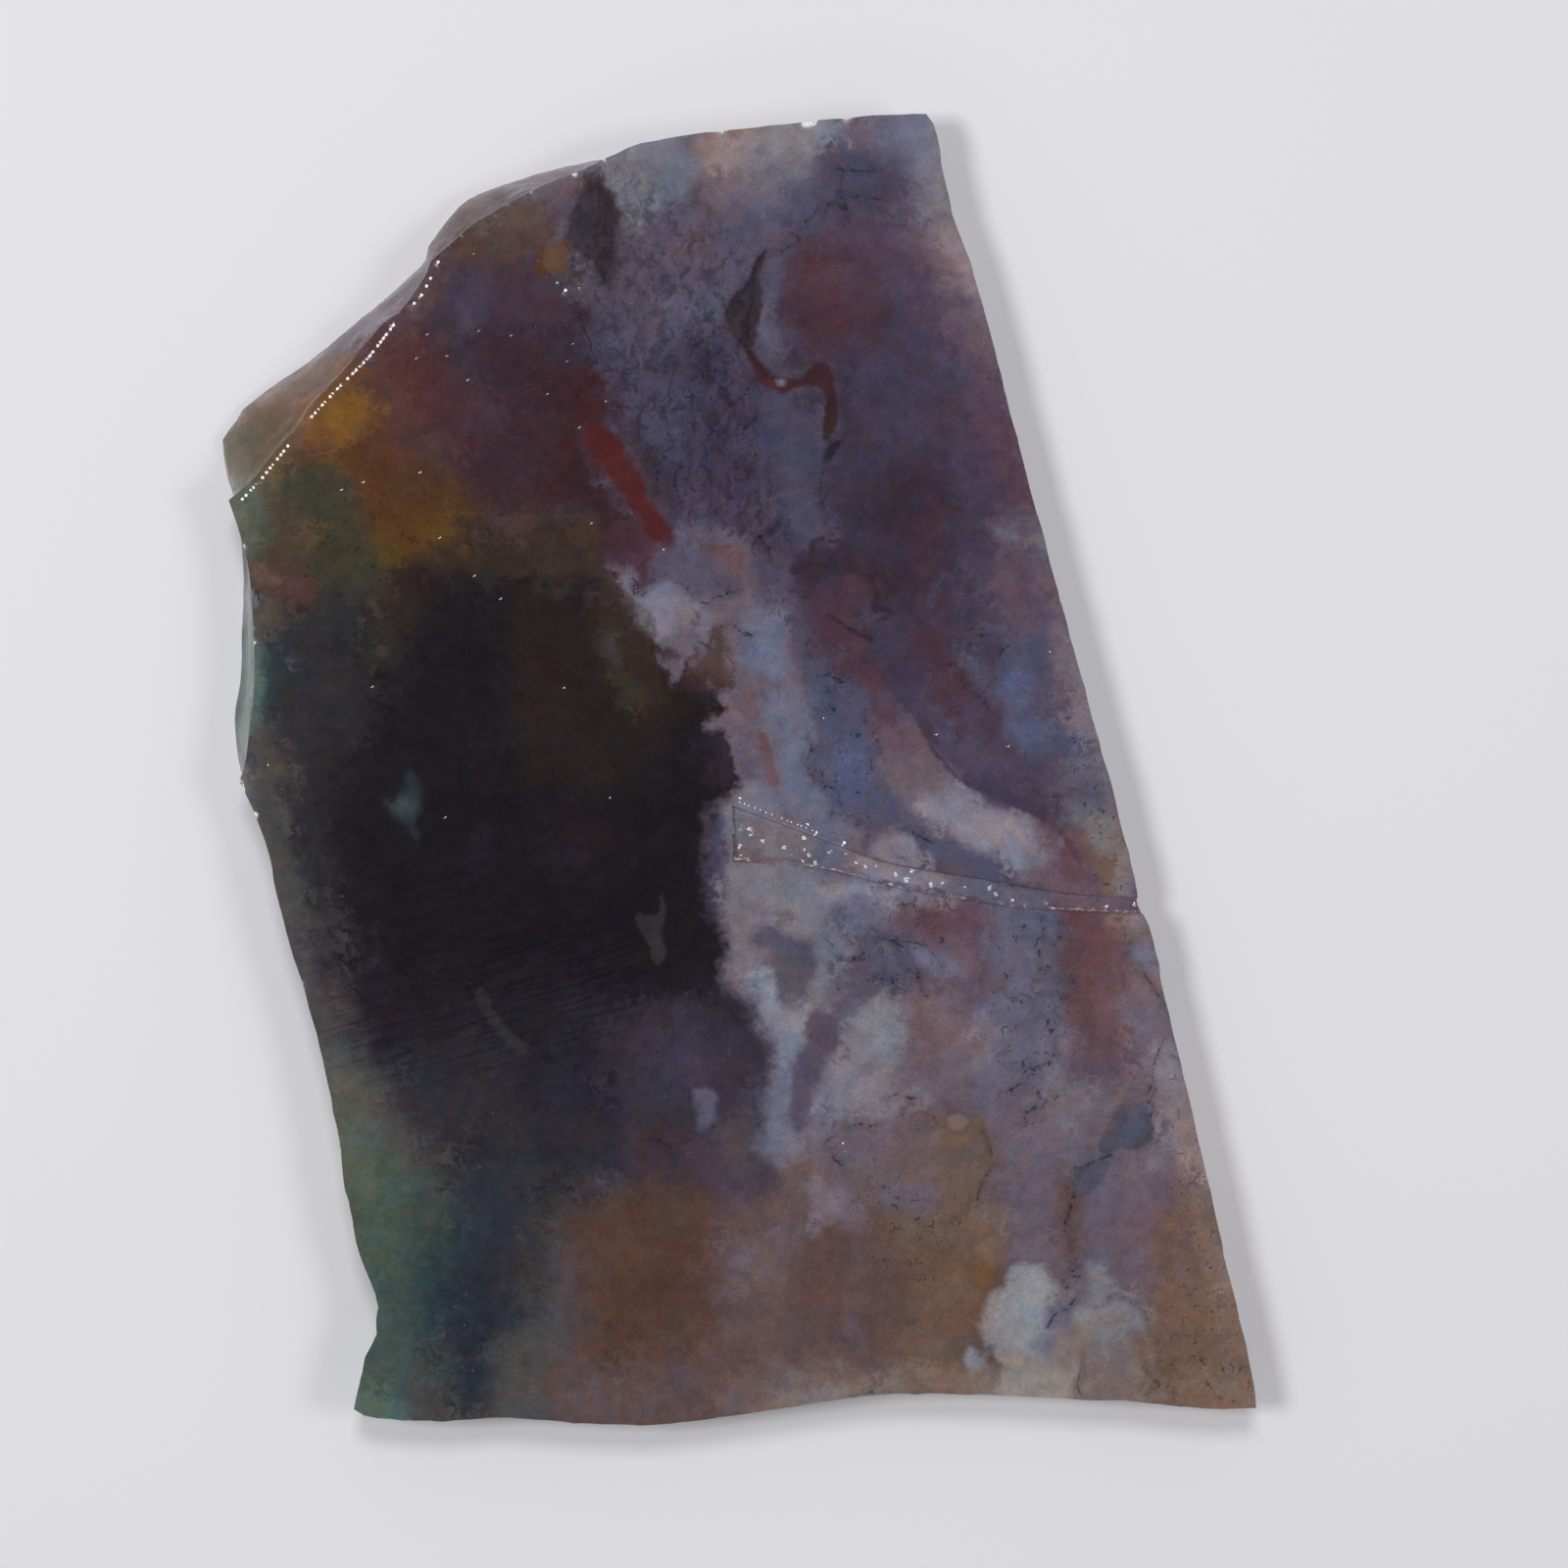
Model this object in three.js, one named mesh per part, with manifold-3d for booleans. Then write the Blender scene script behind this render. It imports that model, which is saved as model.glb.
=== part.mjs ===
// A moss agate slab: one slice of stone, sawn flat on its front and back faces and
// broken all round its rim. Millimetres, +Z up. It lies on its back face, so +Z is the
// way the front face looks and +Y is the slab's top. The origin is in the middle of the
// slab's length and width, on the back face.

import * as THREE from "three";
import { mergeVertices } from "three/addons/utils/BufferGeometryUtils.js";
import Module from "manifold-3d";

const THICKNESS = 6; // back face to front face
const RIM_STEP = 1.2; // spacing of the points round the rim
const RING_HEIGHTS = [0, 1.1, 2.3, 3.5, 4.6, 5.5, THICKNESS]; // levels of the rim's points
const RIM_RELIEF = 0.45; // height of the lumps on the broken rim
const PROUD_SHARE = 0.2; // how much of that height stands out of the rim's line
const LUMP_SIZE = 3.2; // width of those lumps
const EDGE_RIPPLE = 0.18; // depth of the small chips along the two faces' edges
const CHIP_SIZE = 1.5; // width of those chips

// The rim, clockwise as the front face is seen, in stretches that meet at its corners.
// A stretch has the points of the slab's back edge. Where the break slants, it also has
// those of its front edge, and foot, the height at which the slanting break starts above
// a steep wall.
const RIM = [
  {
    name: "right side above the flake scar",
    back: [
      [17.5, 60.2], [18.0, 59.6], [18.6, 57.5], [19.1, 54.7], [20.0, 50.7], [21.5, 46.7],
      [22.7, 42.6], [24.1, 37.1], [27.1, 25.6], [30.6, 12.6], [33.6, 1.8], [36.5, -9.5],
      [37.0, -12.3],
    ],
  },
  {
    name: "right side below the flake scar",
    back: [
      [37.0, -12.3], [37.4, -13.3], [38.1, -14.7], [39.3, -20.3], [42.4, -33.5],
      [45.1, -45.7], [46.7, -52.3], [47.7, -57.5], [47.8, -58.7],
    ],
  },
  {
    name: "bottom",
    back: [
      [47.8, -58.7], [42.4, -58.7], [38.1, -58.2], [31.7, -57.9], [19.8, -57.4],
      [12.6, -57.5], [8.3, -58.1], [4.1, -58.7], [-3.5, -59.9], [-6.5, -60.2],
      [-11.6, -60.2], [-22.0, -59.6], [-28.6, -59.9], [-34.1, -59.4], [-35.1, -58.8],
    ],
  },
  {
    name: "heel below the notch",
    back: [[-35.1, -58.8], [-34.3, -55.2], [-34.1, -54.2], [-33.2, -52.6], [-32.9, -51.9]],
  },
  {
    name: "notch",
    back: [
      [-32.9, -51.9], [-33.1, -51.5], [-32.8, -49.5], [-33.1, -48.3], [-34.5, -44.8],
      [-35.1, -42.1], [-35.5, -39.8],
    ],
  },
  {
    name: "left side",
    back: [
      [-35.5, -39.8], [-35.9, -38.3], [-36.2, -35.5], [-38.4, -24.7], [-41.8, -13.0],
      [-43.1, -7.1], [-44.5, -3.5], [-45.6, -1.1],
    ],
  },
  {
    name: "scooped break",
    back: [
      [-45.6, -1.1], [-46.2, -0.1], [-46.7, 3.4], [-46.7, 5.0], [-46.1, 8.8],
      [-46.1, 12.6], [-45.9, 17.4], [-46.1, 21.2], [-46.6, 24.7],
    ],
    front: [
      [-45.6, -1.1], [-45.0, 1.0], [-44.4, 5.8], [-44.2, 9.9], [-44.4, 14.6],
      [-44.8, 19.0], [-45.7, 22.2], [-46.6, 24.7],
    ],
    foot: 0,
  },
  {
    name: "slanting break",
    back: [
      [-46.6, 24.7], [-47.5, 27.9], [-47.8, 31.0], [-46.7, 32.0], [-46.2, 33.2],
      [-43.9, 35.1], [-40.1, 37.7], [-36.6, 40.6], [-32.1, 44.3], [-28.9, 47.3],
    ],
    front: [
      [-46.6, 24.7], [-44.4, 26.5], [-41.7, 30.0], [-40.6, 31.0], [-38.9, 33.5],
      [-35.6, 37.1], [-32.2, 41.2], [-31.2, 41.7], [-28.5, 45.2], [-28.0, 46.6],
    ],
    foot: 1.4,
  },
  {
    name: "upper corner break",
    back: [
      [-28.9, 47.3], [-28.8, 48.1], [-26.6, 51.5], [-25.9, 51.9], [-25.9, 52.3],
      [-25.0, 53.0], [-22.1, 54.2], [-15.5, 56.2], [-10.9, 57.0],
    ],
    front: [
      [-28.0, 46.6], [-26.0, 48.4], [-23.4, 50.5], [-19.8, 52.6], [-13.5, 55.3],
      [-10.9, 56.6],
    ],
    foot: 2.5,
  },
  {
    name: "top",
    back: [
      [-10.9, 57.0], [-9.9, 57.3], [-8.1, 57.6], [-6.1, 58.0], [3.4, 59.1],
      [11.5, 59.9], [15.7, 60.2], [17.5, 60.2],
    ],
    front: [
      [-10.9, 56.6], [-9.9, 57.1], [-8.1, 57.6], [-6.1, 58.0], [3.4, 59.1],
      [11.5, 59.9], [15.7, 60.2], [17.5, 60.2],
    ],
    foot: 3,
  },
];

// The flake scar: a long sliver broken out of the front face. It starts narrow at the
// right side and ends wide, in a steep step. Its floor slopes down from the upper edge to
// a low wall at the lower edge.
const SCAR = {
  upperEdge: [
    [-0.3, -3.3], [4.5, -5.1], [10.3, -7.3], [13.5, -8.4], [22.9, -10.1], [30.0, -11.3],
    [38.6, -11.9],
  ],
  lowerEdge: [
    [-0.3, -8.3], [7.6, -9.0], [10.8, -9.7], [14.4, -10.7], [23.4, -12.3], [30.0, -12.9],
    [38.6, -13.2],
  ],
  sections: 34,
  stepDepth: 0.8, // at the wide end
  mouthDepth: 0.4, // at the right side
  shoulder: 0.3, // how much of the depth the floor has just below the upper edge
  relief: 0.2, // height of the lumps on its floor
  lumpSize: 1.3,
  wallWidth: 0.22, // how far the wall at its lower edge leans out
};
// Shares of the way from the scar's upper edge to its lower one at which its floor has points
const SCAR_FLOOR = [0.05, 0.25, 0.45, 0.65, 0.85, 1];

// Pits in the front face, as lumpy shallow bowls sunk in it: middle, half widths, depth
// and turn in degrees.
const PITS = [
  { at: [-16.4, 46.8], half: [1.3, 2.1], depth: 0.25, turn: 20 },
  { at: [-14.7, 44.8], half: [0.75, 0.5], depth: 0.3, turn: -35 },
  { at: [8.9, -34.2], half: [0.75, 0.5], depth: 0.3, turn: 30 },
];
const PIT_LUMPS = 0.45; // how much its width varies
const PIT_LUMP_SIZE = 0.9;

const CUTTER_RISE = 1; // how far what is cut away reaches above the front face
const EDGE_GAP = 0.01; // how far above that face a cutter's sloping sides turn upright
const MERGE_DISTANCE = 1e-4; // points that are closer than this are one

const STONE_COLOUR = 0x5d5059;

// A fixed number from 0 to 1 for each whole-number point in space.
function lattice(x, y, z) {
  const s = Math.sin(x * 127.1 + y * 311.7 + z * 74.7) * 43758.5453;
  return s - Math.floor(s);
}

// Smooth noise from 0 to 1, with lumps of about the given size.
function lumps(x, y, z, size) {
  const place = [x / size, y / size, z / size];
  const cell = place.map(Math.floor);
  const ease = place.map((v, i) => v - cell[i]).map((t) => t * t * (3 - 2 * t));
  let sum = 0;
  for (let corner = 0; corner < 8; corner++) {
    const bits = [corner & 1, (corner >> 1) & 1, (corner >> 2) & 1];
    const weight = bits.reduce((w, bit, i) => w * (bit ? ease[i] : 1 - ease[i]), 1);
    sum += weight * lattice(cell[0] + bits[0], cell[1] + bits[1], cell[2] + bits[2]);
  }
  return sum;
}

function smoothCurve(points) {
  const knots = points.map(([x, y]) => new THREE.Vector3(x, y, 0));
  return new THREE.CatmullRomCurve3(knots, false, "centripetal");
}

// The rim's points: each has its place on the back edge and on the front edge, and its
// break's foot. Each stretch leaves its last point to the next one.
function rimPoints() {
  return RIM.flatMap(({ back, front = back, foot = 0 }) => {
    const count = Math.max(2, Math.round(smoothCurve(back).getLength() / RIM_STEP));
    const frontLine = smoothCurve(front).getSpacedPoints(count);
    const backLine = smoothCurve(back).getSpacedPoints(count).slice(0, -1);
    return backLine.map((p, i) => ({ back: p, front: frontLine[i], foot }));
  });
}

// The direction out of the stone at each rim point, square to the rim.
function outwardAt(points, i) {
  const before = points[(i + points.length - 1) % points.length].back;
  const after = points[(i + 1) % points.length].back;
  const along = new THREE.Vector3().subVectors(after, before).normalize();
  return new THREE.Vector3(-along.y, along.x, 0);
}

// One ring of the rim, at one height. The faces' edges ripple evenly both ways. Between
// them the lumps lie mostly inside the rim's line, so that the slab keeps its outline.
function ringAt(points, height) {
  const onFace = height === 0 || height === THICKNESS;
  return points.map((point, i) => {
    const share = Math.min(1, Math.max(0, (height - point.foot) / (THICKNESS - point.foot)));
    const place = new THREE.Vector3().lerpVectors(point.back, point.front, share);
    const depth = onFace
      ? EDGE_RIPPLE * (lumps(place.x, place.y, height, CHIP_SIZE) - 0.5)
      : RIM_RELIEF * (lumps(place.x, place.y, height, LUMP_SIZE) - PROUD_SHARE);
    return place.addScaledVector(outwardAt(points, i), -depth).setZ(height);
  });
}

// A closed mesh through rings of equally many points, with a lid on the first and the
// last ring.
function loft(rings, lid) {
  const count = rings[0].length;
  const position = rings.flat().flatMap((p) => [p.x, p.y, p.z]);
  const index = [];
  for (let r = 0; r + 1 < rings.length; r++) {
    for (let i = 0; i < count; i++) {
      const next = (i + 1) % count;
      const [a, b] = [r * count + i, r * count + next];
      const [c, d] = [b + count, a + count];
      index.push(a, d, c, a, c, b);
    }
  }
  const last = (rings.length - 1) * count;
  for (const [a, b, c] of lid(rings[0])) index.push(a, b, c);
  for (const [a, b, c] of lid(rings[rings.length - 1])) index.push(last + a, last + c, last + b);
  const geometry = new THREE.BufferGeometry();
  geometry.setAttribute("position", new THREE.Float32BufferAttribute(position, 3));
  geometry.setIndex(index);
  return geometry;
}

// Triangles that fill a ring which lies level and goes clockwise. The triangulation gives
// them counter-clockwise, so each is turned round.
function levelLid(ring) {
  const outline = ring.map((p) => new THREE.Vector2(p.x, p.y));
  return THREE.ShapeUtils.triangulateShape(outline, []).map(([a, b, c]) => [a, c, b]);
}

// Triangles that fan out from a ring's first point.
function fanLid(ring) {
  return ring.slice(2).map((_, i) => [0, i + 1, i + 2]);
}

// What is broken out of the front face at the flake scar, one section after another from
// its step to its mouth.
function scarCutter() {
  const { sections, stepDepth, mouthDepth, shoulder, relief, lumpSize, wallWidth } = SCAR;
  const upper = smoothCurve(SCAR.upperEdge).getSpacedPoints(sections);
  const lower = smoothCurve(SCAR.lowerEdge).getSpacedPoints(sections);
  const turnsUp = THICKNESS + EDGE_GAP;
  const top = THICKNESS + CUTTER_RISE;
  const rings = upper.map((u, i) => {
    const l = lower[i];
    const deepest = THREE.MathUtils.lerp(stepDepth, mouthDepth, i / sections);
    const down = new THREE.Vector3().subVectors(l, u).normalize();
    const floor = SCAR_FLOOR.map((share) => {
      const p = new THREE.Vector3().lerpVectors(u, l, share);
      const lump = relief * (lumps(p.x, p.y, 0, lumpSize) - 0.5) * Math.sin(Math.PI * share);
      return p.setZ(THICKNESS - deepest * THREE.MathUtils.lerp(shoulder, 1, share) + lump);
    });
    const lip = l.clone().addScaledVector(down, wallWidth);
    return [
      u.clone().setZ(top),
      u.clone().setZ(turnsUp),
      ...floor,
      lip.clone().setZ(turnsUp),
      lip.clone().setZ(top),
    ];
  });
  return loft(rings, fanLid);
}

// What is missing at one pit.
function pitCutter({ at, half, depth, turn }) {
  const geometry = bare(new THREE.IcosahedronGeometry(1, 3));
  const { position } = geometry.attributes;
  for (let i = 0; i < position.count; i++) {
    const p = new THREE.Vector3().fromBufferAttribute(position, i);
    const [x, y] = [at[0] + p.x * half[0], at[1] + p.y * half[1]];
    const wide = 1 + PIT_LUMPS * (lumps(x, y, 0, PIT_LUMP_SIZE) - 0.5);
    position.setXYZ(i, p.x * wide * half[0], p.y * wide * half[1], p.z * depth);
  }
  geometry.rotateZ(THREE.MathUtils.degToRad(turn));
  geometry.translate(at[0], at[1], THICKNESS);
  return geometry;
}

const wasm = await Module();
wasm.setup();

// The geometry with places only, and with each place held once.
function bare(geometry) {
  const placesOnly = geometry.clone();
  placesOnly.deleteAttribute("normal");
  placesOnly.deleteAttribute("uv");
  return mergeVertices(placesOnly, MERGE_DISTANCE);
}

function solid(geometry) {
  const { attributes, index } = bare(geometry);
  return new wasm.Manifold(
    new wasm.Mesh({
      numProp: 3,
      vertProperties: attributes.position.array,
      triVerts: new Uint32Array(index.array),
    }),
  );
}

function geometryOf(manifold) {
  const { numProp, numVert, vertProperties, triVerts } = manifold.getMesh();
  const position = new Float32Array(numVert * 3);
  for (let i = 0; i < numVert; i++) {
    position.set(vertProperties.subarray(i * numProp, i * numProp + 3), i * 3);
  }
  const geometry = new THREE.BufferGeometry();
  geometry.setAttribute("position", new THREE.BufferAttribute(position, 3));
  geometry.setIndex(new THREE.BufferAttribute(triVerts, 1));
  return geometry.toNonIndexed();
}

// Puts the origin in the middle of the slab's length and width, on its back face.
function centred(geometry) {
  geometry.computeBoundingBox();
  const middle = geometry.boundingBox.getCenter(new THREE.Vector3());
  geometry.translate(-middle.x, -middle.y, -geometry.boundingBox.min.z);
  geometry.computeVertexNormals();
  return geometry;
}

const points = rimPoints();
let stone = solid(loft(RING_HEIGHTS.map((height) => ringAt(points, height)), levelLid));
for (const cutter of [scarCutter(), ...PITS.map(pitCutter)]) {
  stone = stone.subtract(solid(cutter));
}

const wetStone = new THREE.MeshStandardMaterial({
  color: STONE_COLOUR,
  roughness: 0.35,
  metalness: 0,
  flatShading: true,
});
const slab = new THREE.Mesh(centred(geometryOf(stone)), wetStone);
slab.name = "slab";

const part = new THREE.Group();
part.add(slab);

export default part;
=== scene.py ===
"""A moss agate slab on a pale floor, seen from straight above under soft light from three sides."""

import math

import bpy
import numpy as np
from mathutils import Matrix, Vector
from mathutils.geometry import delaunay_2d_cdt
from mathutils.kdtree import KDTree


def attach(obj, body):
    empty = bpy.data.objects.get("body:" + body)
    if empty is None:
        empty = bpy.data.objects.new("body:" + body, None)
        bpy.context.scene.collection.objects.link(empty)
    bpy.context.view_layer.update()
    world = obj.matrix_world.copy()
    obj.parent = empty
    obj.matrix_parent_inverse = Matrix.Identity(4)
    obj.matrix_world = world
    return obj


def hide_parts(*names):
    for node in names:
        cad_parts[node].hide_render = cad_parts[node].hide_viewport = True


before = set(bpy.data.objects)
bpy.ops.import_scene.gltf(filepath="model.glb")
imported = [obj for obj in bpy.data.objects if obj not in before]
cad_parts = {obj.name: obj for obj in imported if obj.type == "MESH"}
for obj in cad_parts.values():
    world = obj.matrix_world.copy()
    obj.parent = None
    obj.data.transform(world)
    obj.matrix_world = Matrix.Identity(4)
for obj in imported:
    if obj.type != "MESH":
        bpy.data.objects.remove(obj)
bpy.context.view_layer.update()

# Sizes and places are in millimetres in the slab's own frame, until the finished mesh is scaled to metres.
MM = 0.001
THICKNESS = 6.0
FLAT = 0.002  # how close to a face's level a point lies on it
WELD = 0.0005  # how close together two points are one
TINY = 1e-9
CURVE_CUTS = 3  # points on a smooth curve for each given one
MARK_SPACING = 0.3  # between the mesh's points along thin lines
THIN_HALF = 0.3  # half width below which a band counts as a thin line
STROKE_STEP = 1.0  # between the short strokes that cracks are made of
STROKE_HALF = 0.5  # half the length of such a stroke
STROKE_WIDTH = 0.2
STROKE_TURN = 0.6  # how far a stroke is turned from its line at most, in radians
STROKE_VARIES = 0.5  # how much longer or shorter than the rest a stroke is at most, as a share
UNEVEN = 0.3  # how far a place in a row is moved along it at most, in steps
SHOWN_SHARE = 0.93  # how much of a base colour the picture shows under this light
EDGE_MOTTLE = 1.6  # how strongly soft edges are mottled
REACH = 3.0  # how far from a shape's edge its depth is still measured
CRACK_REACH = 1.5
SHORE_SOFTNESS = 0.4  # of the dark mass's right edge
LOWER_SHORE_SOFTNESS = 0.7  # how much softer that edge is in its lower part

# How strongly clouds change the colours, as shares of red, green and blue
LIGHT_CLOUDS = 0.13
RED_CLOUDS = np.array([0.08, -0.02, -0.1])
# Noises that mottle the patches' edges by turns: their lump size and seed
MOTTLES = [(3.6, 61), (2.4, 83), (3.0, 107), (1.9, 131)]
# Noises that make the pattern's outlines ragged: how far, their lump size and seed
RAGGED = [(0.25, 3.2, 11), (0.3, 1.5, 23), (0.25, 0.8, 31)]
DRIFT = np.array([0.12, -0.1])  # how far the pattern moves sideways for each millimetre of depth
DRIFT_SWAY = 0.75  # and how much that varies
SWIRL = 1.5  # how far off the second set of colours is taken, which swirls through the first

# Spacing of the fine mesh's points
FRONT_SPACING = 0.38
BACK_SPACING = 1.0
EDGE_SPACING = 0.27  # on the broken surfaces near the front face
RIM_SPACING = 0.75  # on the rim near the back face
RIM_FADE = (3.4, 5.4)  # heights between which the rim's spacing goes over into the one near the front face
LONGEST_EDGE = 1.4  # of a triangle on the rim, in spacings
MARK_GAP = 0.6  # between the even points of a sawn face and its marked places, in spacings of those
OUTLINE_GAP = 0.55  # between those points and the face's outline, in their own spacing
CLOSE = 1e-6  # how close together two points are one when a face is filled

# Relief
LUMP_HEIGHT = 0.16  # of the broken surfaces
LUMPS_FADE = 0.35  # depth below the front face at which the lumps are at full height
CHIP_DEPTH = 0.05  # along the edges of the sawn faces
SMOOTH_PITS = [(-16.4, 46.8, 3.4), (8.9, -34.2, 1.6)]  # pits with few lumps: their middles and their reach
PIT_CALM = 0.8  # how much lower the lumps are in such a pit, as a share
SCAR_LUMPS = 0.5  # how much higher they are in the scar, as a share
# How steeply a small facet that mirrors the left light rises to the right and upwards: at the slab's middle,
# and how much more for each millimetre further right or up
FACET_RISE = (0.234, -0.015)
FACET_TURN = 0.0021
DENT_RADIUS = 0.16
GLINT_RADIUS = 0.155
LUMP_SIZE = 0.9
CHIP_SIZE = 1.3
SHARP_EDGE = 50  # degrees between faces from which an edge is shown sharp

# Camera and light
CAMERA_OVER = (4.46, -1.35)
CAMERA_HEIGHT = 426.0
SENSOR = 36.0
VIEW_WIDTH = 144.0  # how much of the front face's level the picture spans
# The studio round the slab is bright low down and dark high up. Each part has the height where it meets the
# slope between them, as the sine of the elevation, and a colour.
STUDIO_LOW = (0.62, (0.36, 0.36, 0.37, 1.0))
STUDIO_HIGH = (0.86, (0.02, 0.02, 0.02, 1.0))

# Surfaces
WET_ROUGHNESS = (0.1, 0.14)
DULL_ROUGHNESS = 0.7  # how much rougher the smooth pits are
SAWN_GRAIN = 0.0025  # height of the finest grain on sawn stone
BROKEN_GRAIN = 0.05  # and how much more of it broken stone has
BLUE_TINT = (0.9, 0.98, 1.1, 1.0)
RED_TINT = (1.1, 1.01, 0.9, 1.0)
BLACK = (0.0, 0.0, 0.0, 1.0)
STROKE_INK = (0.012, 0.009, 0.014, 1.0)
CRACK_INK = (0.01, 0.008, 0.013, 1.0)
FLECK_WHITE = (0.24, 0.26, 0.28, 1.0)
# How much of the colour below is covered by the marks on it
SAW_MARK_SHARE = 0.3
DARK_FLECK_SHARE = 0.6
PALE_FLECK_SHARE = 0.4
CRACK_SHARE = 0.72
HALO_SHARE = 0.2
FLOOR_COLOUR = (0.808, 0.803, 0.838, 1.0)
FLOOR_ROUGHNESS = 0.9
FLOOR_HALF = 1.2  # in metres


def smoothstep(low, high, value):
    t = np.clip((value - low) / (high - low), 0.0, 1.0)
    return t * t * (3.0 - 2.0 * t)


# Noise

def lattice(x, y, z, seed):
    """A fixed number from -1 to 1 for each whole-number point."""
    h = (x * 73856093) ^ (y * 19349663) ^ (z * 83492791) ^ (seed * 2654435761)
    h = (h ^ (h >> 13)) * 1274126177
    h = h ^ (h >> 16)
    return (h & 0xFFFFF) / float(0x7FFFF) - 1.0


def noise(points, size, seed=0):
    """Smooth noise from -1 to 1 with lumps of about the given size."""
    p = points / size
    cell = np.floor(p).astype(np.int64)
    t = p - cell
    t = t * t * t * (t * (t * 6.0 - 15.0) + 10.0)
    total = np.zeros(len(points))
    for corner in range(8):
        bit = np.array([corner & 1, (corner >> 1) & 1, (corner >> 2) & 1])
        weight = np.prod(np.where(bit == 1, t, 1.0 - t), axis=1)
        at = cell + bit
        total += weight * lattice(at[:, 0], at[:, 1], at[:, 2], seed)
    return total


def fractal(points, size, seed=0, octaves=4, gain=0.5):
    """Noise with finer and finer detail, from about -1 to 1."""
    total = np.zeros(len(points))
    strength = 1.0
    reach = 0.0
    for octave in range(octaves):
        total += strength * noise(points, size, seed + 17 * octave)
        reach += strength
        size, strength = size * 0.5, strength * gain
    return total / reach


# Fine mesh of the stone

def rows_inside(segments, spacing):
    """Points of a triangular grid that lie inside the closed outlines which the segments make up."""
    a, b = segments[:, 0], segments[:, 1]
    step = spacing * math.sqrt(3.0) / 2.0
    low, high = segments.reshape(-1, 2).min(0), segments.reshape(-1, 2).max(0)
    found = []
    for row, y in enumerate(np.arange(low[1] + step / 2.0, high[1], step)):
        crossing = (a[:, 1] > y) != (b[:, 1] > y)
        p, q = a[crossing], b[crossing]
        xs = np.sort(p[:, 0] + (y - p[:, 1]) * (q[:, 0] - p[:, 0]) / (q[:, 1] - p[:, 1]))
        grid = np.arange(low[0] + (spacing / 2.0 if row % 2 else 0.0), high[0], spacing)
        inside = grid[np.searchsorted(xs, grid) % 2 == 1]
        found.append(np.stack([inside, np.full(len(inside), y)], 1))
    return np.concatenate(found)


def points_inside(points, segments):
    """Those points that lie inside the closed outlines which the segments make up."""
    a, b = segments[:, 0], segments[:, 1]
    x, y = points[:, :1], points[:, 1:]
    crosses = (a[:, 1] > y) != (b[:, 1] > y)
    rise = np.where(a[:, 1] == b[:, 1], 1.0, b[:, 1] - a[:, 1])
    crosses &= x < a[:, 0] + (y - a[:, 1]) * (b[:, 0] - a[:, 0]) / rise
    return points[crosses.sum(axis=1) % 2 == 1]


def clear_of(points, others, distance):
    """Those points that are farther than distance from all the others."""
    if not len(others):
        return points
    tree = KDTree(len(others))
    for i, (x, y) in enumerate(others):
        tree.insert((x, y, 0.0), i)
    tree.balance()
    return np.array([p for p in points if tree.find((p[0], p[1], 0.0))[2] > distance])


def fill_level(verts, segments, level, spacing, upward, marks):
    """Fills the closed outlines at one level with even triangles, with the marked places among their corners.
    Returns the new points and the triangles."""
    corners, ends = np.unique(segments, return_inverse=True)
    ends = ends.reshape(-1, 2)
    outline = verts[corners][:, :2]
    grid = clear_of(rows_inside(outline[ends], spacing), marks, MARK_GAP * MARK_SPACING)
    if len(marks):
        grid = np.concatenate([grid, points_inside(marks, outline[ends])])
    grid = clear_of(grid, outline, OUTLINE_GAP * spacing)
    flat = [Vector(p) for p in np.concatenate([outline, grid])]
    links = [(int(a), int(b)) for a, b in ends]
    _, _, triangles, original, _, _ = delaunay_2d_cdt(flat, links, [], 0, CLOSE)
    names = np.array([o[0] for o in original])
    triangles = names[np.array(triangles)]
    triangles = triangles[inside_outlines(triangles, ends, len(corners))]
    if not upward:
        triangles = triangles[:, ::-1]
    points = np.column_stack([grid, np.full(len(grid), level)])
    where = np.concatenate([corners, len(verts) + np.arange(len(grid))])
    return points, where[triangles]


def edges_of(triangles):
    """Each triangle's three edges, with the lower corner first, one row after another."""
    return np.sort(triangles[:, [0, 1, 1, 2, 2, 0]].reshape(-1, 2), axis=1)


def inside_outlines(triangles, ends, outline_count):
    """Which triangles lie inside: one with a grid point does, and crossing an outline changes side."""
    walls = {(min(a, b), max(a, b)) for a, b in ends.tolist()}
    inside = (triangles >= outline_count).any(axis=1)
    known = inside.copy()
    open_ones = np.flatnonzero(~inside)
    beside = {}
    for t, edge in enumerate(map(tuple, edges_of(triangles).tolist())):
        if edge[1] < outline_count:
            beside.setdefault(edge, []).append(t // 3)
    waiting = set(open_ones.tolist())
    while waiting:
        settled = set()
        for t in waiting:
            for edge in map(tuple, edges_of(triangles[t:t + 1]).tolist()):
                for other in beside.get(edge, ()):
                    if other != t and known[other]:
                        inside[t] = inside[other] != (edge in walls)
                        settled.add(t)
        if not settled:
            break
        known[list(settled)] = True
        waiting -= settled
    return inside


def split_long(verts, triangles, limit):
    """Halves every edge longer than limit, and splits the triangles on both sides of it to match."""
    edges, which = np.unique(edges_of(triangles), axis=0, return_inverse=True)
    which = which.reshape(-1, 3)
    ends = verts[edges]
    middle = ends.mean(axis=1)
    long_one = np.linalg.norm(ends[:, 0] - ends[:, 1], axis=1) > limit(middle)
    number = np.full(len(edges), -1)
    number[long_one] = len(verts) + np.arange(long_one.sum())
    verts = np.concatenate([verts, middle[long_one]])
    made = []
    for corners, cuts in zip(triangles.tolist(), number[which].tolist()):
        made.extend(split_triangle(verts, corners, cuts))
    return verts, np.array(made), int(long_one.sum())


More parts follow.
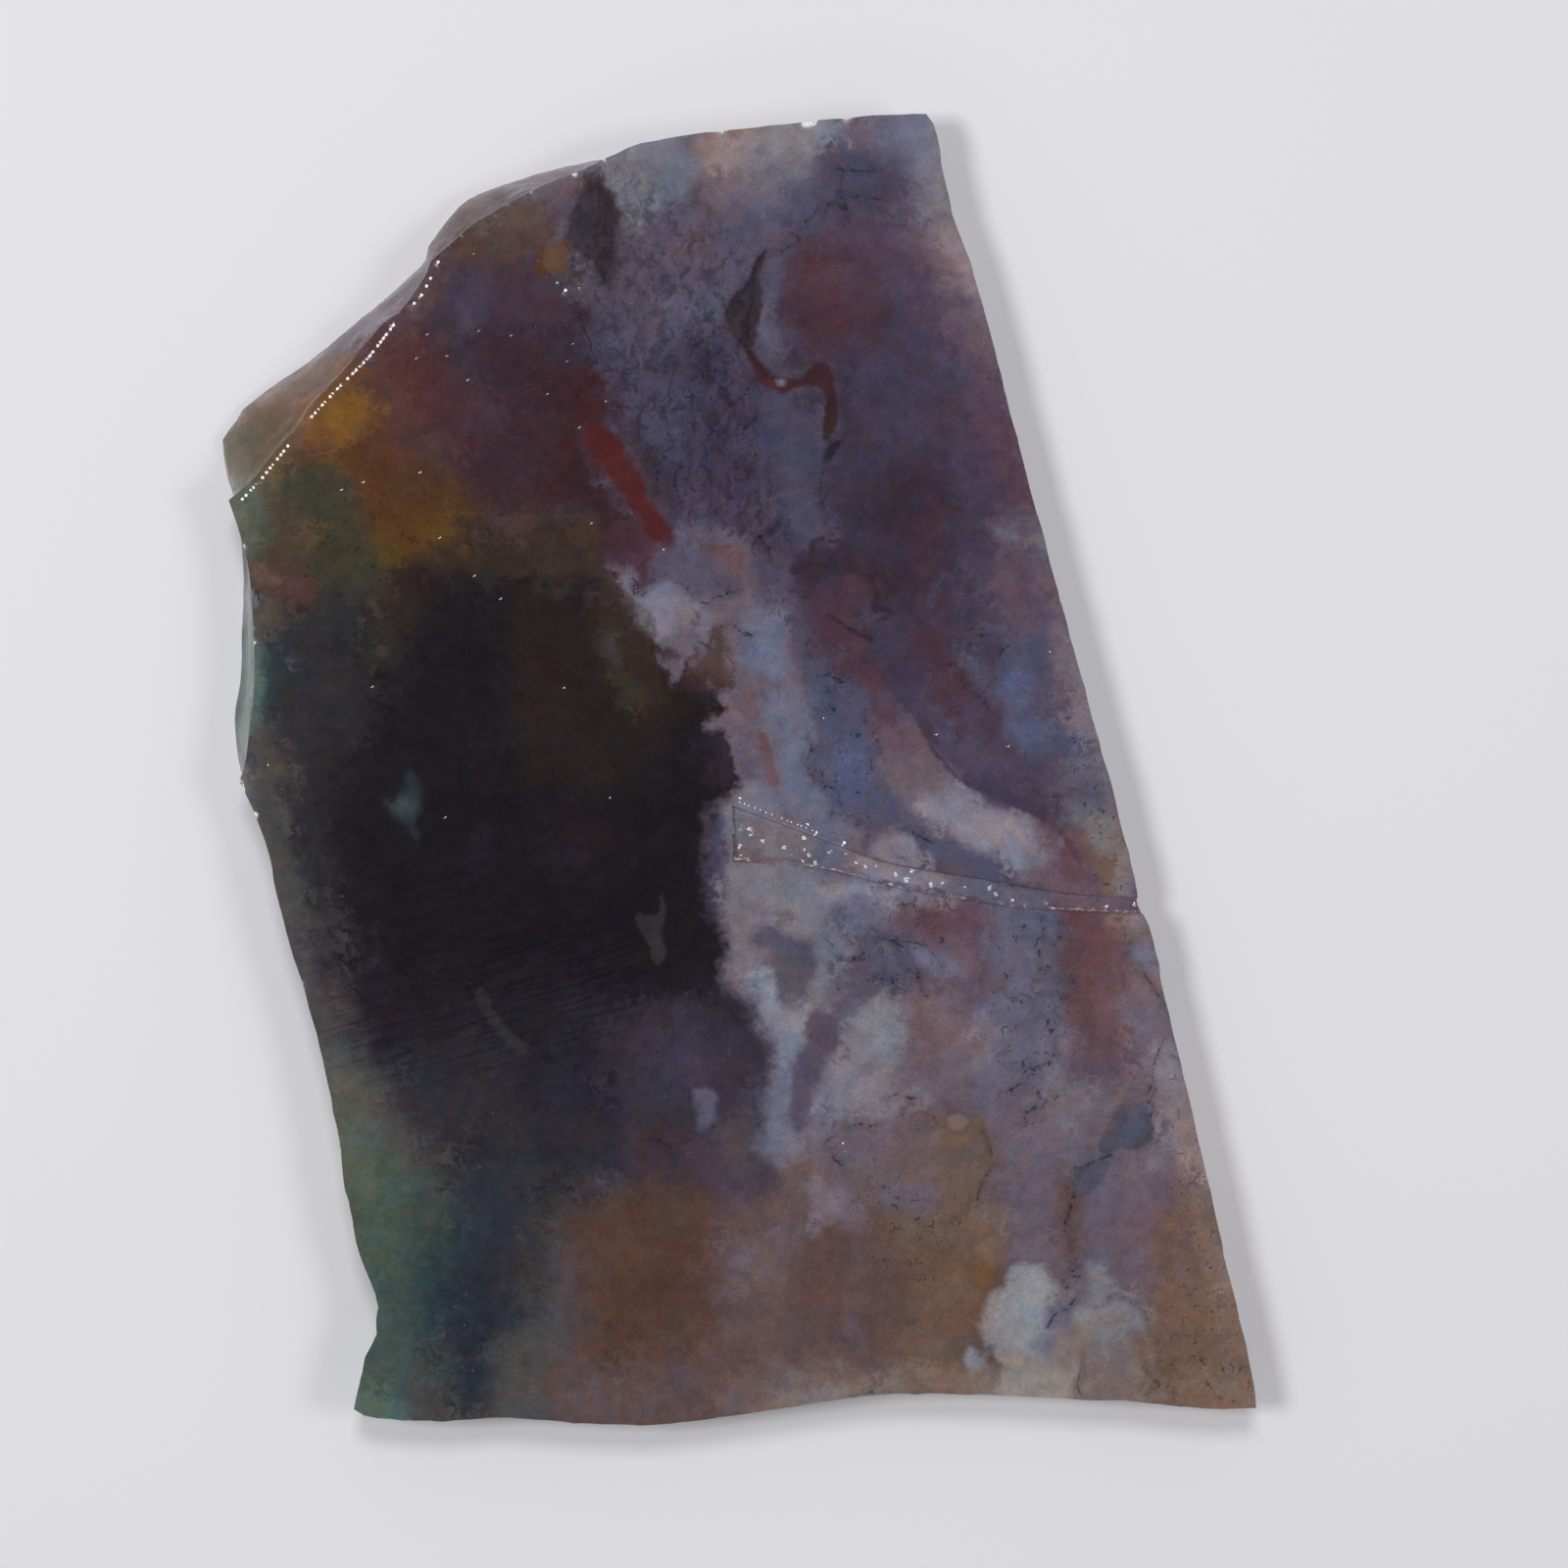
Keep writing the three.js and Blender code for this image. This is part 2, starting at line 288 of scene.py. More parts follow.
def split_triangle(verts, corners, cuts):
    """A triangle's parts, where a number in cuts is the point that halves the edge after that corner."""
    count = sum(c >= 0 for c in cuts)
    if count == 0:
        return [corners]
    start = 0
    if count == 1:
        start = [c >= 0 for c in cuts].index(True)
    elif count == 2:
        start = [c < 0 for c in cuts].index(True)
    a, b, c = (corners[(start + k) % 3] for k in range(3))
    ab, bc, ca = (cuts[(start + k) % 3] for k in range(3))
    if count == 1:
        return [[a, ab, c], [ab, b, c]]
    if count == 3:
        return [[a, ab, ca], [ab, b, bc], [ca, bc, c], [ab, bc, ca]]
    if np.linalg.norm(verts[a] - verts[bc]) < np.linalg.norm(verts[b] - verts[ca]):
        return [[c, ca, bc], [a, bc, ca], [a, b, bc]]
    return [[c, ca, bc], [a, b, ca], [b, bc, ca]]


def rim_spacing(points):
    return RIM_SPACING + (EDGE_SPACING - RIM_SPACING) * smoothstep(*RIM_FADE, points[:, 2])


def solid_triangles(node):
    """The solid's points in millimetres and its triangles, with points at one place made one."""
    data = node.data
    data.calc_loop_triangles()
    places = np.empty(len(data.vertices) * 3)
    data.vertices.foreach_get("co", places)
    corners = np.empty(len(data.loop_triangles) * 3, dtype=np.int32)
    data.loop_triangles.foreach_get("vertices", corners)
    verts = places.reshape(-1, 3) / MM
    _, first, which = np.unique(np.round(verts / WELD).astype(np.int64), axis=0,
                                return_index=True, return_inverse=True)
    triangles = which.reshape(-1)[corners].reshape(-1, 3)
    whole = (triangles != np.roll(triangles, 1, axis=1)).all(axis=1)
    return verts[first], triangles[whole]


def fine_surface(node, marks):
    """The solid's surface again, with small even triangles and points at the front face's marked places."""
    verts, triangles = solid_triangles(node)
    verts[np.abs(verts[:, 2] - THICKNESS) < FLAT, 2] = THICKNESS
    verts[np.abs(verts[:, 2]) < FLAT, 2] = 0.0
    heights = verts[triangles][:, :, 2]
    on_front = (heights == THICKNESS).all(axis=1)
    on_back = (heights == 0.0).all(axis=1)
    triangles = triangles[~on_front & ~on_back]
    more = 1
    while more:
        verts, triangles, more = split_long(verts, triangles, lambda p: LONGEST_EDGE * rim_spacing(p))
    edges, uses = np.unique(edges_of(triangles), axis=0, return_counts=True)
    border = edges[uses == 1]
    sawn_faces = ((THICKNESS, FRONT_SPACING, True, marks), (0.0, BACK_SPACING, False, []))
    for level, spacing, upward, marked in sawn_faces:
        here = (verts[border][:, :, 2] == level).all(axis=1)
        points, filling = fill_level(verts, border[here], level, spacing, upward, marked)
        verts = np.concatenate([verts, points])
        triangles = np.concatenate([triangles, filling])
    used, triangles = np.unique(triangles, return_inverse=True)
    return verts[used], triangles.reshape(-1, 3)


# Shapes of the colour pattern, as places on the front face

def smooth_line(points, closed):
    """A smooth curve through the given points, as more points (a Catmull-Rom curve)."""
    p = np.array(points, float)
    if not closed:
        p = np.concatenate([p[:1], p, p[-1:]])
    found = []
    for i in range(len(p) if closed else len(p) - 3):
        a, b, c, d = (p[(i + k) % len(p)] for k in range(4))
        for t in np.arange(CURVE_CUTS) / CURVE_CUTS:
            found.append(0.5 * (2 * b + (c - a) * t + (2 * a - 5 * b + 4 * c - d) * t ** 2
                                + (3 * b - a - 3 * c + d) * t ** 3))
    if not closed:
        found.append(p[-2])
    return np.array(found)


def area(*points):
    """The inside of a smooth closed curve."""
    return {"line": smooth_line(points, True), "filled": True, "half": 0.0}


def spot(x, y, half_x, half_y, turn=0):
    """An ellipse, turned counter-clockwise by the given degrees."""
    turn = math.radians(turn)
    round_it = np.arange(8) * math.pi / 4
    across, along = half_x * np.cos(round_it), half_y * np.sin(round_it)
    return area(*np.column_stack([x + across * math.cos(turn) - along * math.sin(turn),
                                  y + across * math.sin(turn) + along * math.cos(turn)]))


def band(width, *points):
    """A band of even width along a smooth curve."""
    return {"line": smooth_line(points, False), "filled": False, "half": width / 2.0}


def along(step, *points):
    """Places along a line of straight parts, about one step apart."""
    line = np.array(points, float)
    run = np.concatenate([[0.0], np.cumsum(np.linalg.norm(np.diff(line, axis=0), axis=1))])
    count = round(run[-1] / step) + 1
    uneven = UNEVEN * step * np.array([lattice(i, count, 1, 7) for i in range(count)])
    at = np.clip(np.linspace(0.0, run[-1], count) + uneven, 0.0, run[-1])
    return np.column_stack([np.interp(at, run, line[:, 0]), np.interp(at, run, line[:, 1])])


def strokes(spread, *points):
    """Short thin strokes one after another along a line, each a little turned and up to spread beside it."""
    found = []
    middles = along(STROKE_STEP, *points)
    run, rise = middles[-1] - middles[0]
    for i, (x, y) in enumerate(middles):
        turn = math.atan2(rise, run) + STROKE_TURN * lattice(i, len(middles), 2, 19)
        half = STROKE_HALF * (1.0 + STROKE_VARIES * lattice(i, len(middles), 3, 19))
        aside = spread * lattice(i, len(middles), 4, 19)
        x, y = x - aside * math.sin(turn), y + aside * math.cos(turn)
        across, up = half * math.cos(turn), half * math.sin(turn)
        found.append(band(STROKE_WIDTH, (x - across, y - up), (x + across, y + up)))
    return found


def depth_in(shape, place):
    """How deep each place lies inside a shape, in millimetres, and below 0 outside."""
    x, y = place[:, 0], place[:, 1]
    line = shape["line"]
    after = np.roll(line, -1, axis=0) if shape["filled"] else line[1:]
    nearest = np.full(len(place), np.inf)
    inside = np.zeros(len(place), bool)
    for (x0, y0), (x1, y1) in zip(line, after):
        run, rise = x1 - x0, y1 - y0
        share = np.clip(((x - x0) * run + (y - y0) * rise) / (run * run + rise * rise + TINY), 0.0, 1.0)
        nearest = np.minimum(nearest, (x - x0 - share * run) ** 2 + (y - y0 - share * rise) ** 2)
        if shape["filled"]:
            crosses = (y0 > y) != (y1 > y)
            inside ^= crosses & (x < x0 + (y - y0) * run / (rise if rise else TINY))
    distance = np.sqrt(nearest)
    return np.where(inside, distance, -distance) + shape["half"]


def depth_near(shape, place, reach):
    """The places within reach of a shape, and how deep each of them lies in it."""
    margin = reach + shape["half"]
    low, high = shape["line"].min(0) - margin, shape["line"].max(0) + margin
    near = np.flatnonzero(((place > low) & (place < high)).all(axis=1))
    return near, depth_in(shape, place[near])


def laid_on(colours, place, patches, mottles):
    """Lays patches over the colours, one after another, each with its own soft and mottled edge."""
    colours = colours.copy()
    for i, (name, soft, strength, shape) in enumerate(patches):
        near, depth = depth_near(shape, place, 2.0 * soft)
        depth += EDGE_MOTTLE * soft * mottles[i % len(mottles)][near]
        cover = strength * smoothstep(-soft, soft, depth)[:, None]
        colours[near] += cover * (np.array(PALETTE[name]) - colours[near])
    return colours


def deepest(place, shapes, reach):
    """How deep each place lies in whichever of the shapes it is deepest in."""
    found = np.full(len(place), -reach)
    for shape in shapes:
        near, depth = depth_near(shape, place, reach)
        found[near] = np.maximum(found[near], depth)
    return np.clip(found, -reach, reach)


def base_colour(shown):
    """The base colours that the picture shows as the given colours, from 0 to 255."""
    share = np.clip(shown, 0.0, 255.0) / 255.0
    linear = np.where(share <= 0.04045, share / 12.92, ((share + 0.055) / 1.055) ** 2.4)
    return linear / SHOWN_SHARE


# The stone's colours, as the picture shows them, from 0 to 255
PALETTE = {
    "black": (30, 26, 31), "black_brown": (41, 33, 33), "black_violet": (38, 33, 42),
    "violet_dark": (57, 51, 62), "plum_dark": (53, 42, 53), "plum": (64, 52, 61), "purple_grey": (80, 70, 87),
    "violet_deep": (54, 46, 62), "maroon_dark": (56, 35, 40), "maroon": (72, 47, 56),
    "maroon_pink": (90, 70, 82), "red": (75, 34, 36), "red_brown": (82, 54, 52), "brick": (101, 73, 77),
    "brown_dark": (55, 43, 36), "brown": (84, 63, 55), "ochre_brown": (84, 55, 33), "ochre": (120, 84, 38),
    "mustard": (86, 66, 32), "tan_brown": (102, 84, 72), "orange": (130, 104, 86), "salmon": (99, 73, 76),
    "olive": (93, 80, 58), "green_dark": (58, 56, 45), "green": (78, 88, 76), "green_pale": (92, 96, 86),
    "teal": (71, 85, 77), "teal_dark": (45, 62, 67), "teal_pale": (84, 106, 99), "teal_mid": (64, 80, 78),
    "green_grey": (64, 74, 70), "blue_teal": (48, 68, 75), "navy": (43, 47, 57), "blue_dark": (51, 50, 55),
    "grey_green": (116, 118, 128), "grey_dark": (76, 74, 74), "blue": (86, 89, 119),
    "blue_grey": (80, 79, 101), "blue_lilac": (85, 83, 102), "blue_pale": (118, 121, 138),
    "lilac": (104, 100, 118), "lilac_pale": (118, 112, 127), "mauve": (85, 76, 92),
    "mauve_pale": (105, 95, 105), "grey_mauve": (84, 80, 92), "pink_grey": (128, 122, 134),
    "pink_brown": (112, 97, 106), "peach": (134, 118, 120), "grey_stone": (128, 119, 118),
    "cream": (153, 140, 132), "slate": (70, 66, 87), "slate_dark": (58, 51, 67), "dusk": (66, 57, 75),
    "dusk_red": (73, 52, 65), "heather": (78, 63, 81), "heather_pale": (92, 77, 92),
    "rose_grey": (103, 92, 104), "silver": (123, 121, 129), "silver_blue": (110, 111, 124),
    "blush": (110, 94, 103), "umber": (80, 61, 58), "rust": (96, 66, 62), "sand": (118, 102, 92),
    "bark": (70, 58, 48), "rose_brown": (94, 75, 75), "rose_tan": (104, 87, 88), "ash_dark": (45, 44, 47),
    "chalk": (132, 129, 134), "clay": (112, 88, 76), "clay_pale": (124, 102, 90),
    "stone_tan": (122, 108, 104), "rim_grey": (142, 128, 128), "moss": (62, 58, 46), "gold": (116, 82, 42),
    "copper": (96, 62, 44), "earth": (80, 54, 34), "wine": (88, 62, 74), "wine_pale": (103, 84, 96),
    "ash_violet": (78, 74, 92), "white": (139, 143, 153), "frost": (103, 104, 125),
    "frost_white": (126, 128, 142), "ash_pink": (119, 111, 122), "scar_grey": (114, 107, 115),
    "scar_pink": (134, 120, 129), "wedge_pale": (135, 128, 140), "lens_dark": (58, 49, 58),
    "vein_red": (88, 45, 47),
}

# Soft patches of the ground: colour, how soft the edge is, strength, and shape. Later ones lie on top.
UPPER_LEFT = [
    ("plum", 2.0, 1.0, area((-34, 46), (-22, 51), (-14, 47), (-12, 40), (-11, 33), (-12, 20), (-22, 20),
                            (-31, 25), (-37, 37))),
    ("rose_brown", 1.2, 1.0, area((-31, 46), (-29, 51), (-20, 55), (-12, 57), (-12, 54), (-16, 52),
                                  (-21, 50.8), (-26, 47.6))),
    ("rose_grey", 0.8, 0.9, area((-20, 55), (-12, 58), (-11.6, 55.4), (-15, 53.4), (-20, 52.6))),
    ("rose_tan", 0.7, 0.9, area((-29.4, 47), (-28, 50), (-25.6, 51.6), (-24.4, 50.4), (-27, 48))),
    ("stone_tan", 0.5, 0.9, area((-25.6, 51.8), (-24.5, 52.8), (-22.2, 53), (-22.4, 51.8), (-24.8, 51.1))),
    ("rim_grey", 0.5, 1.0, band(1.4, (-30, 47.8), (-28.2, 51), (-24.8, 53.6), (-20, 55.2), (-14, 57.2),
                                (-9, 58.8))),
    ("umber", 1.2, 1.0, area((-27, 48.4), (-22, 51.4), (-17, 51.6), (-16, 48.6), (-20, 46.6), (-25, 46.4))),
    ("rose_brown", 0.9, 0.8, area((-22, 51.6), (-18.4, 51.8), (-18, 50), (-20.6, 49.6), (-23, 50))),
    ("rose_tan", 0.8, 0.6, spot(-16.6, 52.8, 1.6, 0.9)),
    ("olive", 1.0, 0.3, spot(-20, 50.6, 2, 1)),
    ("heather", 1.0, 0.6, area((-17.6, 52.4), (-14.6, 53), (-14.6, 49), (-16.6, 49))),
    ("rose_grey", 0.6, 0.9, area((-16.6, 50), (-14.2, 50.2), (-14, 48.6), (-15.6, 48.5))),
    ("silver_blue", 0.6, 0.7, spot(-14, 46.8, 0.9, 1)),
    ("grey_mauve", 0.9, 0.8, area((-14.6, 45.4), (-12.4, 44.6), (-11, 41.4), (-12.6, 40.6), (-15, 43.4))),
    ("wine_pale", 1.6, 1.0, area((-48, 25), (-46, 36), (-36, 42), (-30, 48), (-28, 47), (-30.5, 42),
                                 (-35, 37), (-39.5, 31), (-45, 26))),
    ("sand", 1.2, 1.0, area((-48, 25), (-47, 34), (-40, 39), (-36, 39.4), (-37.6, 36), (-41, 31), (-45, 26))),
    ("clay", 1.0, 1.0, area((-42.6, 33.6), (-38.6, 37.4), (-36.4, 37.6), (-37.6, 35.4), (-40.6, 31.4),
                            (-42.6, 30.4))),
    ("pink_grey", 0.6, 0.8, area((-36, 39.8), (-33, 43), (-31.4, 43), (-33.2, 40.4), (-35, 38.6))),
    ("rim_grey", 0.5, 1.0, band(1.3, (-48.8, 27), (-46.8, 32.6), (-43.4, 36.4), (-38.4, 40.4), (-33.4, 44.4),
                                (-29.4, 48.2))),
    ("olive", 1.3, 0.75, area((-48, 27), (-47, 32), (-44, 34.4), (-41.6, 33), (-43, 29.4), (-45.4, 26.6))),
    ("tan_brown", 0.9, 0.6, area((-46.6, 31.6), (-43.6, 34.6), (-42, 33.4), (-44.4, 30.4))),
    ("plum_dark", 2.5, 0.9, area((-25, 43), (-17, 42), (-13, 36), (-15, 30), (-20, 34), (-25, 38))),
    ("rose_brown", 1.0, 0.6, area((-29.6, 45.6), (-27, 46.4), (-26.6, 43.4), (-28.4, 42), (-30, 43))),
    ("red_brown", 1.6, 1.0, area((-34.5, 38), (-31.4, 41.5), (-28.5, 39), (-27, 34), (-31, 30), (-35, 34))),
    ("wine", 1.2, 0.6, spot(-31.2, 41, 1.8, 1.4, 45)),
    ("red", 1.6, 0.45, area((-31, 38), (-27, 38), (-24, 31), (-28, 30))),
    ("maroon", 2.0, 0.7, area((-28, 37), (-24, 35), (-20, 36), (-17, 33), (-22, 31), (-28, 33))),
    ("maroon_dark", 2.0, 0.7, area((-23, 39), (-17, 38), (-14, 33), (-16, 29), (-21, 32))),
    ("dusk", 1.2, 0.7, area((-26.6, 44.6), (-23, 44.8), (-22.6, 41), (-26, 40.6))),
    ("purple_grey", 0.5, 0.7, area((-25.4, 42.8), (-24.6, 42.6), (-23.8, 40.2), (-24.6, 39.6), (-25.2, 41))),
    ("dusk_red", 1.8, 0.7, spot(-18.5, 43.4, 4, 2.2)),
    ("copper", 1.8, 1.0, area((-40, 31), (-36.4, 36.4), (-33, 34), (-31, 29), (-27, 28), (-26, 23), (-31, 20),
                              (-36, 24), (-39, 27))),
    ("earth", 1.8, 1.0, area((-36, 31), (-31, 29.6), (-26, 27), (-23, 23), (-24, 19.6), (-28, 18.6),
                             (-33, 16.5), (-35, 21), (-36, 26))),
    ("ochre_brown", 1.4, 0.7, area((-35, 26), (-29, 25), (-26, 21), (-28, 19), (-33, 18), (-35, 21))),
    ("gold", 1.2, 1.0, area((-40, 31.6), (-38.2, 34.4), (-36.2, 36), (-34.4, 35.4), (-33.8, 33), (-35, 30.8),
                            (-37.4, 29.4), (-39.4, 30))),
    ("ochre", 1.0, 0.8, area((-39, 32.6), (-37.4, 34.8), (-36, 34.6), (-35.6, 32.4), (-37, 31),
                             (-38.6, 31.4))),
    ("mustard", 1.4, 0.8, spot(-32.6, 20.4, 1.6, 2.6)),
    ("mustard", 1.2, 0.8, spot(-27, 22, 2.6, 1.2, 20)),
    ("red_brown", 1.6, 0.6, area((-33, 30.6), (-27, 30), (-24, 26), (-28, 26.6), (-33, 28))),
    ("maroon_dark", 1.6, 0.7, area((-25, 30), (-17, 31), (-15, 25.5), (-19, 23.6), (-24, 24.5))),
    ("brown_dark", 1.5, 0.9, area((-25, 22), (-18, 22.6), (-11, 24), (-9, 18), (-14, 16.5), (-22, 18.5))),
    ("umber", 1.0, 0.6, spot(-20.5, 22.4, 2, 1.3)),
    ("brown_dark", 1.2, 1.0, area((-30, 19.4), (-24, 20.4), (-18, 20), (-18, 16), (-26, 15.6), (-31, 16))),
    ("bark", 0.9, 0.7, spot(-13.4, 22, 1.2, 1.4)),
    ("violet_deep", 2.0, 0.5, area((-15, 41), (-11, 41), (-11, 36), (-15, 32))),
    ("dusk", 1.0, 0.8, area((-13.4, 38), (-11, 37), (-10.6, 33.4), (-12.6, 34.4))),
    ("maroon_dark", 1.2, 1.0, area((-14.5, 31), (-12, 27.5), (-10, 22), (-8.3, 17), (-10, 18.5), (-12, 21),
                                   (-14, 24), (-17.5, 25), (-17, 29))),
    ("maroon_dark", 1.0, 0.8, area((-19, 36.4), (-15, 36.4), (-12.4, 35.6), (-11.6, 33), (-13.4, 31.6),
                                   (-17, 33))),
    ("red", 0.9, 0.5, area((-15.6, 36), (-13, 36), (-11.8, 33.4), (-13.2, 31.6), (-15, 33))),
    ("maroon", 0.7, 0.9, area((-11, 33), (-9, 31.6), (-7.4, 28), (-5.8, 25), (-7, 24.4), (-9.4, 28))),
    ("maroon", 0.8, 0.6, area((-13.5, 31.4), (-12.3, 32), (-10.7, 30.4), (-9.5, 28.5), (-8.2, 26.5),
                              (-6.6, 23.9), (-5.6, 22), (-5.4, 20.8), (-7.4, 21), (-9, 23), (-10, 24.5),
                              (-11.5, 26.8), (-13.2, 28.8))),
    ("blue_pale", 0.6, 0.9, area((-10.6, 54), (-9, 53.4), (-8, 51.4), (-8.2, 49.4), (-9.4, 50),
                                 (-10.2, 51.6))),
]
LEFT_SIDE = [
    ("moss", 1.5, 0.9, area((-43, 27), (-38, 28), (-34, 22), (-33, 15), (-36, 12), (-42, 12), (-46, 16),
                            (-46, 22))),
    ("olive", 1.3, 1.0, spot(-42.4, 28, 2, 3.4, -35)),
    ("copper", 1.0, 0.6, spot(-39.4, 29.4, 1.2, 2, -35)),
    ("moss", 1.2, 1.0, area((-41, 25.3), (-39.2, 27.8), (-36.6, 26.6), (-34.8, 23), (-33.2, 19), (-33.3, 16),
                            (-36.5, 17.2), (-38.8, 21))),
    ("olive", 1.2, 0.8, spot(-41, 21.3, 2.6, 1.8)),
    ("bark", 1.0, 0.8, area((-43.4, 24.6), (-40.6, 24.6), (-39.4, 18), (-42, 18))),
    ("green_pale", 0.9, 1.0, area((-46.5, 26.5), (-44, 25.4), (-43.2, 22.5), (-44, 20.2), (-46, 20))),
    ("teal", 1.0, 0.6, area((-44.6, 24.6), (-43, 24), (-42.4, 21.4), (-43.8, 20.6))),
    ("grey_dark", 1.2, 1.0, area((-46, 15.6), (-42.6, 15.3), (-41, 12.5), (-42, 9.5), (-42, 5), (-42, -2),
                                 (-44, -8), (-47, -2))),
    ("teal_dark", 1.2, 0.9, area((-43.6, 11.6), (-41.4, 11), (-40.6, 8), (-41, 4), (-42.4, 3.6), (-43.6, 6))),
    ("blue_teal", 0.9, 0.4, spot(-42.6, 7.4, 1, 3)),
    ("olive", 1.0, 0.7, spot(-41.4, 13.8, 2, 1.4)),
    ("ash_dark", 1.2, 1.0, area((-39, 16), (-35, 16.5), (-33.5, 13), (-34.5, 10), (-38, 10.5))),
    ("moss", 1.0, 0.5, spot(-38.5, 16.5, 1.6, 1.2)),
    ("red_brown", 0.7, 0.9, area((-44, 18.6), (-41.5, 18.4), (-38.8, 16.5), (-38.5, 14.4), (-40.2, 14.1),
                                 (-42, 15.2), (-44, 15.8))),
    ("rust", 0.7, 0.5, spot(-42.4, 17, 1.4, 0.8, -20)),
    ("silver", 0.5, 0.9, area((-48, 21), (-45.4, 20), (-44.8, 15), (-45.2, 12), (-48, 12))),
    ("teal_pale", 0.6, 0.9, area((-48, 13), (-44.4, 13), (-43.4, 9), (-43.6, 5), (-45.5, 1), (-48, 1),
                                 (-47.5, 10))),
    ("grey_stone", 0.6, 0.8, area((-47, -0.5), (-44, -1), (-43, -7), (-45, -8), (-47, -4))),
]
UPPER_MIDDLE = [
    ("slate", 2.0, 1.0, area((-12.5, 42), (-5, 42), (1, 42), (4, 36), (9, 31), (9, 22), (5, 19), (0, 21),
                             (-6, 22), (-8, 26), (-9.5, 31), (-12, 36))),
    ("mauve", 1.8, 0.9, area((-13, 50), (-5, 52), (1, 51), (1, 43), (-3, 41), (-6, 39), (-11, 38))),
    ("silver_blue", 1.2, 1.0, area((-13, 57), (-10, 59), (-2.5, 60), (-2.5, 55), (-4.5, 52.5), (-9, 51),
                                   (-11, 52))),
    ("silver", 0.9, 0.8, band(1.8, (-11.4, 55), (-10.2, 53), (-9.4, 51))),
    ("rose_grey", 1.2, 0.7, spot(-4, 57.4, 1.4, 1.2)),
    ("peach", 1.1, 1.0, area((-3, 57.2), (-1, 59.6), (3, 60), (2.4, 56.5), (1.6, 54.6), (-1.4, 54.6))),
    ("blush", 1.0, 0.8, area((-3.4, 54.6), (1.6, 54.8), (1.4, 52), (-1.6, 51.4))),
    ("silver", 1.1, 1.0, area((2.4, 60), (9.5, 61), (9.3, 57), (6.5, 55.8), (2.6, 56))),
    ("silver_blue", 1.0, 0.9, area((1.4, 56), (7.4, 56), (6.2, 53.8), (2, 53))),
    ("brown", 1.2, 0.4, spot(-1.2, 59, 1, 0.6)),
    ("blue_grey", 1.5, 1.0, area((0.8, 53), (5, 53.6), (8.4, 54.6), (9.4, 50.6), (5, 49.4), (0.6, 48.6),
                                 (-0.6, 50.6))),
    ("lilac", 1.0, 0.6, area((1.6, 54), (4.8, 54), (4.4, 51.8), (1.2, 51.4))),
    ("slate", 1.2, 1.0, area((8, 55.6), (9.6, 57.4), (13, 57), (15.6, 54.4), (13.4, 51), (9, 50.4), (5.6, 51),
                             (7, 53))),
    ("heather_pale", 1.0, 0.8, area((9.4, 60.5), (13.4, 61), (15, 58), (12, 56.6), (9.6, 57.6))),
    ("orange", 0.6, 0.35, spot(12.5, 59.6, 0.9, 0.5)),
    ("lilac", 1.3, 1.0, area((12.6, 61), (19.5, 61), (20.5, 52), (16, 51.4), (15.6, 55), (13, 58))),
    ("lilac_pale", 1.0, 0.8, area((15.6, 60.6), (18.6, 60.6), (19.4, 55), (17, 54.6))),
    ("silver", 0.8, 0.6, band(1.6, (18.4, 60), (19.4, 56), (20, 52))),
    ("lilac", 1.2, 0.5, spot(-6, 42.4, 1.8, 2.2)),
    ("heather_pale", 1.2, 0.6, area((-5.6, 50), (-3, 50), (-2.4, 44.6), (-4.4, 44))),
    ("dusk", 1.4, 0.9, area((-4.6, 40.4), (-1.6, 39.4), (-1, 36.4), (1, 34), (1.4, 31), (-0.4, 28.6),
                            (-3, 29.4), (-3.4, 33), (-4.6, 36.4))),
    ("slate_dark", 1.0, 0.8, area((-2.8, 38.6), (-1, 38.4), (-1.2, 35.8), (-2.8, 36))),
    ("ash_violet", 1.2, 0.6, spot(-6.4, 31, 1.8, 2.4)),
    ("dusk", 1.4, 0.8, area((-8.4, 29.6), (-4.6, 28.6), (1.6, 28.8), (3.2, 26), (0, 25.6), (-4, 26.4),
                            (-5.4, 23.6), (-7.6, 25.4))),
    ("heather", 1.2, 0.8, area((-5.6, 24.4), (-1, 26), (2.4, 25.2), (2, 21.6), (-2, 22.6))),
    ("ash_violet", 1.6, 0.8, spot(4.8, 25, 2.4, 4)),
    ("plum", 0.9, 0.7, band(1.6, (-10, 30.6), (-8.4, 28), (-7.4, 26), (-6, 24))),
    ("umber", 0.8, 0.5, spot(-3.5, 52.5, 0.8, 1.2)),
    ("purple_grey", 1.2, 0.6, spot(-7.6, 50.3, 0.8, 1.6)),
    ("lens_dark", 0.6, 0.9, area((-13.6, 54.4), (-12.4, 54.2), (-11.3, 53), (-10.7, 51.4), (-10.8, 48.4),
                                 (-11, 46), (-12, 44.4), (-13, 46), (-13.4, 48.6), (-14.2, 50.6),
                                 (-14.2, 53.4))),
    ("silver_blue", 0.6, 0.8, area((-10.6, 53.6), (-8.6, 52.4), (-8.4, 49.6), (-9.6, 50.4), (-10.6, 51.4))),
]
